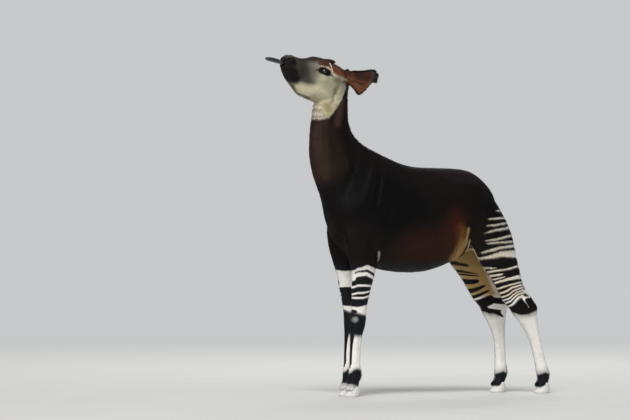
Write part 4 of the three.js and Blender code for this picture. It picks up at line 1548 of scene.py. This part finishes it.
# The triangles of a straight tuft and of a bent one, as numbers of their points.
SPIKE = ((0, 2, 1), (0, 1, 3), (0, 3, 2), (1, 2, 3))
BENT_SPIKE = (
    (0, 2, 1), (0, 1, 4), (0, 4, 3), (0, 3, 5), (0, 5, 2),
    (1, 2, 5), (1, 5, 4), (3, 4, 6), (3, 6, 5), (4, 5, 6),
)


@dataclass
class Coat:
    """The tufts over the skin: thin closed spikes that lie along it."""

    marks: Marks
    lie: Lie = field(default_factory=Lie)
    length: float = 12.0
    leg_length: float = 7.5
    lift: float = 7.0
    number: float = 0.056
    long_from: float = 12.5
    patch: float = 0.003
    growths: tuple[Growth, ...] = each(
        Growth, 3,
        (-1100, 0, 2150, -940, 0, 2080, 150, 4.5, 6, 1.1),
        (-930, 0, 2090, -690, 0, 2040, 140, 6.5, 6, 1.25), (-1000, 0, 1990, -850, 0, 1900, 34, 9, 14),
        (-860, 0, 1880, -850, 0, 1790, 70, 15, 13), (-760, 60, 1850, -690, 60, 1960, 26, 12, 12),
        (-600, 0, 2010, -560, 0, 1700, 34, 15, 20), (-560, 0, 1700, -380, 0, 1520, 30, 15, 16),
        (-640, 0, 960, -300, 0, 925, 95, 16, 12), (-300, 0, 915, 200, 0, 925, 95, 16, 10),
        (176, 170, 1090, 170, 170, 900, 34, 21, 15, 1.5),
        (-452, 150, 912, -448, 140, 860, 22, 18, 18, 1.3), (455, 120, 1190, 560, 150, 900, 40, 13, 13),
        (560, 135, 860, 625, 130, 640, 34, 12, 13), (-540, 87, 165, -535, 87, 120, 26, 15, 20, 1.2),
        (-495, 87, 165, -488, 87, 120, 26, 15, 20, 1.2), (800, 127, 160, 806, 127, 110, 26, 15, 20, 1.2),
        (627, 127, 160, 632, 127, 110, 26, 15, 20, 1.2),
    )
    axes: tuple[tuple[str, tuple[Pair, Pair]], ...] = (
        ("coat_head", ((-1060, 2120), (-640, 2000))), ("coat_neck", ((-790, 1900), (-560, 1330))),
        ("coat_tail", ((440, 1300), (491, 930))), ("coat_fore", ((-545, 900), (-570, 50))),
        ("coat_hind_left", ((400, 1160), (740, 50))), ("coat_hind_right", ((350, 1160), (600, 50))),
        ("coat", ((-760, 1200), (470, 1200))),
    )

    def _grown(self, points: Array) -> tuple[Array, Array, Array]:
        """The tufts' length, lift and number at places on the skin."""
        low = ramp(-points[:, 2], -880, -740)
        length = blended(np.full(len(points), self.length), self.leg_length, low)
        lift = np.full(len(points), self.lift)
        number = self.number * (1 + 0.25 * low)
        for growth in self.growths:
            away, _ = off_line(outwards(points), growth.start, growth.end)
            weight = 1 - ramp(away, growth.reach * 0.6, growth.reach * 1.25)
            length = blended(length, growth.length, weight)
            lift = blended(lift, growth.lift, weight)
            number = blended(number, self.number * growth.number, weight)
        coronet = 1 - ramp(points[:, 2], 70, 84)
        length, lift = blended(length, 17, coronet), blended(lift, 13, coronet)
        number = number * (1 + 1.2 * coronet)
        for ear in (Ear(LEFT), Ear(RIGHT)):
            share, t, _ = ear.place_of(points)
            mine = ear.holds(points)
            rim = mine * np.maximum(ramp(np.abs(t), 0.8, 0.95), ramp(share, 0.93, 0.99))
            length, lift = blended(length, 8 + 5 * rim, mine), blended(lift, 9, mine)
            number = number * (1 + 0.5 * mine)
        return length, np.radians(lift), number

    def _region(self, points: Array) -> Array:
        """The name of the piece that each place belongs to."""
        x, y, z = points.T
        name = np.where(x < -150, "coat_shoulder", "coat_flank")
        name = np.where((x < -430) & (z > 1320), "coat_neck", name)
        name = np.where((x < 0) & (z < 870), "coat_fore", name)
        name = np.where((x > 230) & (z < 1160), "coat_hind", name)
        name = np.char.add(name, np.where(y < 0, "_left", "_right"))
        name = np.where((x > 425) & (z > 900) & (np.abs(y) < 34), "coat_tail", name)
        name = np.where(self.marks.on_head(points) > 0.5, "coat_head", name)
        for side in (LEFT, RIGHT):
            name = np.where(Ear(side).holds(points) > 0.5, "coat_ears", name)
        return name

    def _unwrapped(self, name: str, points: Array, normals: Array) -> Array:
        """Places of a region on an unwrap of the skin, from 0 to 1.

        A region is slit along its length and rolled out. Ears are four leaves: each one's two faces.

        Args:
            name: The region's piece.
            points: The places.
            normals: The skin's directions there.

        Returns:
            Two numbers a place.
        """
        x, y, z = points.T
        if name == "coat_ears":
            parts = []
            for ear in (Ear(LEFT), Ear(RIGHT)):
                share, t, _ = ear.place_of(points)
                leaf = (normals @ ear.frame()[3] > 0) / 4 + (ear.side == RIGHT) / 2
                across = np.clip((t + 1.3) / 2.6, 0.02, 0.98)
                parts.append(np.stack([across / 4 + leaf, share * 0.9 + 0.05], axis=1))
            return np.where(y[:, None] > 0, parts[1], parts[0])
        start, end = np.array(next(axis for key, axis in self.axes if name.startswith(key)), float)
        way = unit(end - start)
        rel = np.stack([x, z], axis=1) - start
        along = rel @ way / np.linalg.norm(end - start)
        turn = np.arctan2(y, rel @ (way[1], -way[0]))
        for leg in LEGS:
            if name == f"coat_{leg.name}":
                turn = np.arctan2(y - leg.side * leg.at(z)[1], x - leg.at(z)[0])
        return np.clip(np.stack([(turn / math.pi + 1) / 2, along * 0.8 + 0.1], axis=1), 0.01, 0.99)

    def _roots(self, points: Array, faces: Array, bare: Array) -> tuple[Array, Array]:
        """Draws the tufts' roots, more where the coat is dense.

        Args:
            points: The skin's points.
            faces: Its triangles.
            bare: How bare it is at each point.

        Returns:
            The roots, and the skin's outward directions there.
        """
        draw = np.random.default_rng(5)
        a, b, c = (points[corner] for corner in faces.T)
        area = np.linalg.norm(np.cross(b - a, c - a), axis=1) / 2
        middle = points[faces].mean(axis=1)
        number = self._grown(middle)[2] * area * (bare[faces].mean(axis=1) < 0.25)
        number *= np.linalg.norm(outwards(middle) - EYE_AT, axis=1) > EYE_RADIUS + 3
        count = np.floor(number + draw.uniform(0, 1, len(number))).astype(int)
        chosen = np.repeat(np.arange(len(faces)), count)
        shares = draw.uniform(0, 1, (len(chosen), 2))
        over = shares.sum(axis=1) > 1
        shares[over] = 1 - shares[over]
        weights = np.column_stack([1 - shares.sum(axis=1), shares])
        normals = normals_of(points, faces)
        roots = (points[faces[chosen]] * weights[:, :, None]).sum(axis=1)
        return roots, unit((normals[faces[chosen]] * weights[:, :, None]).sum(axis=1))

    def _shaped(self, roots: Array, ways: Array, normals: Array, draw: np.random.Generator) -> tuple:
        """Shapes the tufts of a piece.

        Args:
            roots: Where they stand.
            ways: The way they lie.
            normals: The skin's directions.
            draw: Where chance comes from.

        Returns:
            Their points, triangles, directions for shading, and the tuft of each point.
        """
        length, lift, _ = self._grown(roots)
        length = length * draw.uniform(0.7, 1.3, len(roots))
        lift = lift * draw.uniform(0.3, 1.7, len(roots))
        ways = unit(ways + np.cross(normals, ways) * draw.normal(0, 0.13, len(roots))[:, None])
        across = np.cross(normals, ways)
        wide = (np.clip(length * 0.085, 0.45, 1.15) * draw.uniform(0.8, 1.2, len(roots)))[:, None]
        reach, rise = (length * np.cos(lift))[:, None], (length * np.sin(lift))[:, None]
        flat_root = roots - normals * 0.5
        left, right = flat_root - across * wide, flat_root + across * wide
        top = roots + normals * wide * 0.55 + ways * reach * 0.2
        tip = roots + ways * reach + normals * rise
        half = roots + ways * reach * 0.5 + normals * rise * 0.75
        bent = [left, right, top, half - across * wide * 0.9, half + across * wide * 0.9]
        bent += [half + normals * wide * 0.6, tip - reach * (0, 0, 0.06)]
        edges, long = [-across, across, 0 * across], length > self.long_from
        kinds = ((~long, [left, right, top, tip], edges, SPIKE), (long, bent, 2 * edges, BENT_SPIKE))
        found, base = [], 0
        for which, body, lean, pattern in kinds:
            own = np.flatnonzero(which)
            starts = base + np.arange(len(own))[:, None, None] * len(body)
            shade = normals[own][:, None] + 0.33 * np.stack([*lean, ways * 0.4], axis=1)[own]
            parts = (np.stack(body, axis=1)[own], starts + np.array(pattern), unit(shade))
            found.append([*(part.reshape(-1, 3) for part in parts), np.repeat(own, len(body))])
            base += len(own) * len(body)
        return tuple(np.concatenate(parts) for parts in zip(*found))

    def build(self, skin: Piece, material: Material) -> None:
        """Makes the coat's pieces over a skin.

        Args:
            skin: The skin's object.
            material: What the coat is made of.
        """
        points, faces = Own.of_row(positions(skin.data)), triangles(skin.data)
        bare = np.empty(len(points), np.float32)
        skin.data.attributes["bare"].data.foreach_get("value", bare)
        roots, normals = self._roots(points, faces, bare)
        ways = self.lie.at(roots, normals)
        names = self._region(roots)
        slots = {"head": "head_coat", "ears": "ear_coat", "fore": "leg_coat", "hind": "leg_coat"}
        for number, name in enumerate(np.unique(names).tolist()):
            mine = names == name
            draw = np.random.default_rng(100 + number)
            body, tris, shade, owner = self._shaped(roots[mine], ways[mine], normals[mine], draw)
            mesh = triangle_mesh(name, body, tris)
            self.marks.store(mesh, roots[mine], owner, draw.uniform(0.72, 1.3, mine.sum()))
            keep_attribute(mesh, "bare", "FLOAT", np.zeros(len(body)))
            self._mapped(mesh, self._unwrapped(name, roots[mine], normals[mine]), owner)
            mesh.normals_split_custom_set_from_vertices(shade)
            shown(mesh, name, material, slots.get(name[5:9], "body_coat"))

    def _mapped(self, mesh: Mesh, places: Array, owner: Array) -> None:
        """Gives a piece the map OFBake: each tuft a small patch at its root's place.

        Args:
            mesh: The piece.
            places: The roots' places on the unwrap.
            owner: The tuft that each point belongs to.
        """
        first = np.r_[True, owner[1:] != owner[:-1]]
        order = np.arange(len(owner)) - np.maximum.accumulate(np.where(first, np.arange(len(owner)), 0))
        shape = np.array([(-1, -1), (1, -1), (0, 0), (-1, 1), (1, 1), (0, 0.6), (0, 1)]) * self.patch / 2
        tip = (order == 3) & (np.bincount(owner)[owner] == 4)
        place = places[owner] + shape[np.where(tip, len(shape) - 1, order)]
        corner = np.empty(len(mesh.loops), np.int32)
        mesh.loops.foreach_get("vertex_index", corner)
        layer = mesh.uv_layers.new(name="OFBake")
        layer.data.foreach_set("uv", place[corner].astype(np.float32).ravel())


@dataclass(frozen=True)
class EyeFinish:
    """A dark brown eye under a clear wet surface."""

    name: str = "eye"

    def made(self) -> Material:
        """The material, which reads how far each place lies from the line of sight."""
        constants = {"Specular_IOR_Level": 0.6, "Coat_Weight": 0.6, "Coat_Roughness": 0.03}
        material, wire, shader = begun(self.name, Roughness=0.06, **constants)
        parts = wire.add("SeparateXYZ", Vector=wire.stored("iris_place", "Vector")).outputs
        oval = wire.add("CombineXYZ", X=wire.math("MULTIPLY", parts[0], 0.62), Y=parts[1]).outputs[0]
        pupil = wire.add("VectorMath", {"operation": "LENGTH"}, n0=oval).outputs["Value"]
        flat = wire.add("CombineXYZ", X=parts[0], Y=parts[1]).outputs[0]
        radius = wire.add("VectorMath", {"operation": "LENGTH"}, n0=flat).outputs["Value"]
        streaks = wire.noise(9, 4, wire.add("VectorMath", {"operation": "NORMALIZE"}, n0=flat).outputs[0])
        iris = wire.mixed(streaks, (0.010, 0.005, 0.003, 1), (0.040, 0.018, 0.009, 1))
        white = wire.mixed(wire.spread(radius, 0.78, 0.86, 0, 1), iris, (0.035, 0.026, 0.022, 1))
        colour = wire.mixed(wire.spread(pupil, 0.24, 0.30, 0, 1), (0.002, 0.002, 0.0025, 1), white)
        wire.feed(shader, Base_Color=colour)
        return material


@dataclass
class Eye:
    """One eyeball with its bulging cornea."""

    side: int
    cornea: float = 0.62
    bulge: float = 2.0

    def build(self, finish: Material) -> None:
        """Makes the eyeball where the solid one is.

        Args:
            finish: Its material.
        """
        middle, rear, up, gaze = Lids(self.side).frame()
        turn = np.linspace(0, 2 * math.pi, 72, endpoint=False)
        rings, places = [], []
        for angle in np.linspace(0.02, math.pi - 0.02, 56):
            flat = math.sin(angle)
            front = (1 + math.cos(angle)) / 2
            radius = EYE_RADIUS + self.bulge * ramp(self.cornea - flat, 0, self.cornea) * (front > 0.5)
            x, y = flat * np.cos(turn), flat * np.sin(turn)
            rings.append(middle + radius * (rear * x[:, None] + up * y[:, None] + gaze * math.cos(angle)))
            back = 0 if front > 0.5 else 2
            places.append(np.stack([x, y + back, np.full_like(x, front)], axis=1))
        shell = loft(np.array(rings)).turned_out()
        name = f"eye_{SIDE_WORDS[self.side]}"
        piece = shown(shell, f"{name}_ball", finish, "eye", name)
        keep_attribute(piece.data, "iris_place", "FLOAT_VECTOR", np.vstack([*places, (0, 0, 1), (0, 2, 0)]))


@dataclass
class Lashes:
    """Stiff dark lashes along the upper lids."""

    count: int = 46
    length: float = 17

    def build(self, finish: Material) -> None:
        """Makes the lashes of both eyes as one piece.

        Args:
            finish: Their material.
        """
        draw = np.random.default_rng(11)
        shells = []
        for side in (LEFT, RIGHT):
            lids = Lids(side)
            middle, rear, up, gaze = lids.frame()
            for angle in np.linspace(0.28, math.pi - 0.25, self.count):
                angle += draw.uniform(-0.02, 0.02)
                (x,), (y,) = lids.margin(np.array([angle]))
                over = math.sqrt(EYE_RADIUS**2 - min(math.hypot(x, y), 20.5) ** 2)
                root = middle + rear * x * 1.06 + up * y * 1.06 + gaze * (over + 2.2)
                lean = rear * (x / 20 + 0.25) + up * 0.35 + gaze * 0.75
                reach = self.length * (0.55 + 0.45 * math.sin(angle)) * draw.uniform(0.85, 1.1)
                mid = root + unit(lean) * reach * 0.55 - up * reach * 0.10
                tip = root + unit(lean + up * 0.7) * reach
                rows = np.array([[*root, 0.42, 0.42], [*mid, 0.34, 0.34], [*tip, 0.05, 0.05]])
                shells.append(tube(rows, 6, 4, tuple(rear)))
        shown(joined(shells), "lashes", finish, "head_coat")


@dataclass(frozen=True)
class PlainFinish:
    """A dark surface with broken colour and relief, for tongue and lashes."""

    name: str
    first: str
    second: str
    rough: float
    scale: float = 60
    bump: float = 0.3
    bump_size: float = 0.0008
    coat: float = 0.0
    level: float = 0.4

    def made(self) -> Material:
        """The material."""
        constants = {"Specular_IOR_Level": self.level, "Coat_Weight": self.coat, "Coat_Roughness": 0.18}
        material, wire, shader = begun(self.name, **constants)
        cloudy = wire.spread(wire.noise(self.scale, 4), 0.35, 0.65, 0, 1)
        colour = wire.mixed(cloudy, (*tone(self.first), 1), (*tone(self.second), 1))
        grain = wire.noise(self.scale * 14, 3)
        bump = wire.add("Bump", Strength=self.bump, Distance=self.bump_size, Height=grain)
        rough = wire.spread(grain, 0.3, 0.7, self.rough - 0.07, self.rough + 0.07)
        wire.feed(shader, Base_Color=colour, Roughness=rough, Normal=bump.outputs[0])
        return material


@dataclass(frozen=True)
class HornFinish:
    """Layered horn of hooves."""

    name: str = "hoof horn"
    dark: str = "b3afaa"
    pale: str = "f0efed"

    def made(self, shared: Finishes) -> Material:
        """The material."""
        material, wire, shader = begun(self.name, Specular_IOR_Level=0.35)
        lines = wire.add("Group", {"node_tree": shared.horn}, Rings=95.0, Grain=420.0, Wear=0.7)
        colour = wire.mixed(lines.outputs["Shade"], (*tone(self.dark), 1), (*tone(self.pale), 1))
        bump = wire.add("Bump", Strength=0.5, Distance=0.0011, Height=lines.outputs["Height"])
        rough = wire.spread(lines.outputs["Height"], 0.2, 0.8, 0.62, 0.42)
        wire.feed(shader, Base_Color=colour, Roughness=rough, Normal=bump.outputs[0])
        return material


@dataclass
class Hoof:
    """The two claws of one foot."""

    leg: Leg
    toe: float
    levels: Table = (
        (0.0, 4, 94, 39), (2.5, 1, 99, 42), (8, 1, 102, 43.5), (20, 8, 104, 44.5), (34, 17, 104, 44.5),
        (48, 26, 102, 43.5), (60, 34, 99, 41.5), (66, 38, 96, 39), (72, 42, 90, 33),
    )
    cleft: float = 2.2
    around: int = 56

    def claw(self, inward: int) -> Shell:
        """One claw: flat on its inner side, pointed at the toe, with rings of growth."""
        out_mid = self.leg.joints[4][1]
        angle = np.linspace(0, 2 * math.pi, self.around, endpoint=False)
        rings = []
        along, over = np.cos(angle), np.maximum(0, np.sin(angle))
        for z, toe, heel, width in filled(self.levels, 44):
            middle, half = self.toe + (toe + heel) / 2, (heel - toe) / 2
            outer = over**0.75 * width * (1 - 0.42 * np.maximum(0, -along))
            ripple = 0.5 * math.sin(z * 0.9) + 0.35 * math.sin(z * 2.1 + 1)
            outer = outer + ripple * over * (8 < z < 60)
            hollow = 1.5 * (1 + np.minimum(0, np.sin(angle)))
            y = out_mid - inward * (self.cleft + outer + hollow)
            slope = 0.30 * (middle - self.toe - 50 + half * along)
            lift = np.where(z > 30, (z - 30) / 42, 0) * -slope * 0.5
            rings.append(np.stack([middle + half * along, self.leg.side * y, z + lift], axis=1))
        return loft(np.array(rings)).turned_out()

    def build(self, finish: Material) -> None:
        """Makes both claws as pieces.

        Args:
            finish: Their material.
        """
        for word, inward in (("inner", 1), ("outer", -1)):
            name, solid = (f"{self.leg.name}_{kind}_{word}" for kind in ("claw", "hoof"))
            shown(self.claw(inward), name, finish, "hoof_horn", solid)


@dataclass
class Tongue:
    """The long pointed tongue, with a groove along its top."""

    rows: Table = (
        (-985, 0, 2118, 9, 19), (-1042, 0, 2134, 10.5, 20.5), (-1080, 0, 2147, 15, 19.5),
        (-1130, 0, 2160, 15.5, 17), (-1160, 0, 2165.5, 13.5, 14), (-1175, 0, 2168, 9.5, 10),
        (-1181, 0, 2168.5, 5.5, 6), (-1183, 0, 2168.5, 2, 2),
    )

    def build(self, finish: Material) -> None:
        """Makes the tongue's piece.

        Args:
            finish: Its material.
        """
        shell = tube(self.rows, 90, 48)
        x, y, z = shell.points.T
        path = filled(self.rows, 400)
        middle = path[np.abs(x[:, None] - path[:, 0]).argmin(axis=1)]
        above = z > middle[:, 2]
        groove = 2.2 * np.exp(-((y / 4.5) ** 2)) * np.minimum(1, middle[:, 3] / 8)
        z -= np.where(above, groove, -0.6 * groove)
        z += 0.22 * (np.sin(x * 1.7) * np.sin(y * 2.1)) * above
        shown(shell.turned_out(), "tongue_long", finish, "tongue_skin", "tongue")


@dataclass
class Ossicone:
    """A short skin-covered horn that lies back, bare and worn at its tip."""

    side: int
    rows: Table = (
        (-800, 40, 2136, 20), (-785, 41, 2143, 19.5), (-765, 42, 2148, 17), (-742, 43.5, 2148, 14.5),
        (-724, 44.5, 2146, 12), (-713, 45, 2143.5, 9.5), (-706, 45, 2141, 6), (-703, 45, 2140, 2.5),
    )

    def build(self, finish: Material, marks: Marks) -> None:
        """Makes the horn's piece.

        Args:
            finish: Its material, which reads the coat's marks.
            marks: The colours of the coat.
        """
        rows = np.array([(x, y * self.side, z, radius, radius) for x, y, z, radius in self.rows])
        shell = tube(rows, 60, 40)
        x, y, z = shell.points.T
        z += 0.7 * (0.5 * np.sin(x * 0.45) + 0.4 * np.sin(y * 0.9 + x * 0.2))
        name = f"ossicone_{SIDE_WORDS[self.side]}"
        piece = shown(shell.turned_out(), f"{name}_skin", finish, "ossicone_skin", name)
        marks.store(piece.data, shell.points)
        tip, _ = off_line(shell.points, rows[-1][:3], rows[-2][:3])
        keep_attribute(piece.data, "bare", "FLOAT", 1 - ramp(tip, 7, 13))


@dataclass
class TailTuft:
    """The long dark hair at the end of the tail."""

    start: Triple = (491, 8, 1000)
    end: Triple = (491, 8, 940)
    locks: int = 150

    def build(self, finish: Material, marks: Marks) -> None:
        """Makes the tuft as tapered locks that hang from the tail's end.

        Args:
            finish: Its material, which reads the coat's marks.
            marks: The colours of the coat.
        """
        draw = np.random.default_rng(23)
        start, end = np.array(self.start, float), np.array(self.end, float)
        shells = []
        for _ in range(self.locks):
            share, angle = draw.uniform(0, 1), draw.uniform(0, 2 * math.pi)
            side = np.array([math.cos(angle), math.sin(angle), 0])
            root = start + (end - start) * share + side * (8.5 - 3 * share)
            fall = draw.uniform(75, 125) * (1 + 0.2 * share)
            bend = draw.uniform(4, 12)
            sway = np.array([draw.normal(0, 5), draw.normal(0, 5), 0])
            stations = [root - side * 3, root + side * bend * 0.6 - [0, 0, fall * 0.35]]
            stations.append(root + side * bend + sway * 0.5 - [0, 0, fall * 0.7])
            stations.append(root + side * bend * 0.5 + sway - [0, 0, fall])
            wide = (1.5, 2.2, 1.6, 0.15)
            rows = np.array([[*place, w * 0.5, w] for place, w in zip(stations, wide)])
            shells.append(tube(rows, 9, 5, tuple(np.cross(side, (0, 0, 1)))))
        shell = joined(shells)
        piece = shown(shell, "tail_tuft_hair", finish, "body_coat", "tail_tuft")
        marks.store(piece.data, shell.points)


@dataclass
class Studio:
    """A pale floor, soft light and the camera."""

    scale: float = 6.4
    picture_width: int = 630
    middle: Pair = (-736.0, 1197.0)
    azimuth: float = math.radians(-27)
    elevation: float = math.radians(1.3)
    distance: float = 60.0
    floor_half: float = 14.0
    fade: Pair = (2.6, 12.0)
    sky: Pair = (0.40, 0.68)
    lamps: tuple[tuple[str, Triple, float, float, Triple], ...] = (
        ("key", (-5.0, -6.0, 4.5), 2.5, 110, (1.0, 0.97, 0.93)),
        ("rim", (3.5, 6.0, 5.5), 3.0, 160, (0.95, 0.98, 1.0)),
    )

    def floor(self) -> None:
        """A wide pale floor with a faint unevenness, which fades out far from the animal."""
        material, wire, shader = begun("floor", Specular_IOR_Level=0.2, Roughness=0.9)
        colour = wire.mixed(wire.noise(1.5, 3), (0.60, 0.60, 0.58, 1), (0.66, 0.66, 0.64, 1))
        away = wire.add("VectorMath", {"operation": "LENGTH"}, n0=wire.place())
        wire.feed(shader, Base_Color=colour, Alpha=wire.spread(away.outputs["Value"], *self.fade, 1, 0))
        mesh = bpy.data.meshes.new("floor")
        corners = np.array([(-1, -1, 0), (1, -1, 0), (1, 1, 0), (-1, 1, 0)]) * self.floor_half
        mesh.from_pydata(corners.tolist(), [], [(0, 1, 2, 3)])
        mesh.materials.append(material)
        in_scene("floor", mesh)

    def soft_lamps(self) -> None:
        """Soft area lights that look at the animal's chest."""
        for name, place, size, power, colour in self.lamps:
            light = bpy.data.lights.new(name, "AREA")
            light.size, light.energy, light.color = size, power, colour
            piece = in_scene(name, light)
            piece.location = place
            aim = Vector((0, 0, 1.2)) - Vector(place)
            piece.rotation_euler = aim.to_track_quat("-Z", "Y").to_euler()

    def sun(self) -> None:
        """A broad soft light over the whole floor, high on the camera's left."""
        light = bpy.data.lights.new("sun", "SUN")
        light.energy, light.angle, light.color = 2.1, math.radians(24), (1.0, 0.98, 0.95)
        piece = in_scene("sun", light)
        piece.rotation_euler = Vector((0.55, 0.75, -1.25)).to_track_quat("-Z", "Y").to_euler()

    def camera(self) -> None:
        """The camera at the photograph's angle, far off with a long lens."""
        a, e = self.azimuth, self.elevation
        back = Vector((math.sin(a) * math.cos(e), -math.cos(a) * math.cos(e), math.sin(e)))
        aim = Vector(Own.to_row(np.array([self.middle[0] / math.cos(a), 0.0, self.middle[1]])))
        data = bpy.data.cameras.new("camera")
        data.sensor_width = 36.0
        data.lens = data.sensor_width * self.distance / (self.scale * self.picture_width / 1000)
        data.clip_end = 200
        piece = in_scene("camera", data)
        piece.location = aim + back * self.distance
        piece.rotation_euler = (-back).to_track_quat("-Z", "Y").to_euler()
        bpy.context.scene.camera = piece

    def build(self) -> None:
        """Sets up the whole studio."""
        bpy.context.scene.view_settings.view_transform = "Standard"
        self.floor()
        world = bpy.data.worlds.new("studio")
        world.use_nodes = True
        wire = Wiring(world.node_tree)
        seen = wire.add("LightPath").outputs["Is Camera Ray"]
        dim, bright = self.sky
        strength = wire.add("MapRange", Value=seen, To_Min=dim, To_Max=bright).outputs["Result"]
        wire.feed(world.node_tree.nodes["Background"], Color=(0.84, 0.86, 0.87, 1), Strength=strength)
        bpy.context.scene.world = world
        self.sun()
        self.soft_lamps()
        self.camera()


def clear_startup() -> None:
    """Removes what Blender opens with, apart from the frame."""
    known = set(frame["nodes"].values()) | set(frame["bodies"].values())
    for thing in [o for o in bpy.data.objects if o.name in ("Cube", "Light", "Camera") and o not in known]:
        bpy.data.objects.remove(thing)


def main() -> None:
    """Builds the animal and the studio, piece by piece."""
    logging.basicConfig(level=logging.INFO, format="%(name)s: %(message)s")
    clear_startup()
    Studio().build()
    marks = Marks()
    shared = Finishes()
    coat = CoatFinish("coat").made(shared)
    Coat(marks).build(Skin().build(marks, coat), coat)
    eye = EyeFinish().made()
    lash = PlainFinish("lashes", "0d0a09", "16100e", 0.5).made()
    tongue = PlainFinish("tongue", "1b1c26", "343644", 0.34, scale=45, coat=0.35).made()
    horn = HornFinish().made(shared)
    bony = CoatFinish("ossicone", bare_rough=0.42, contrast=0.5).made(shared)
    for side in (LEFT, RIGHT):
        Eye(side).build(eye)
        Ossicone(side).build(bony, marks)
    Lashes().build(lash)
    Tongue().build(tongue)
    for leg, toe in zip(LEGS, TOES):
        Hoof(leg, toe).build(horn)
    TailTuft().build(coat, marks)


if __name__ == "__main__":
    main()
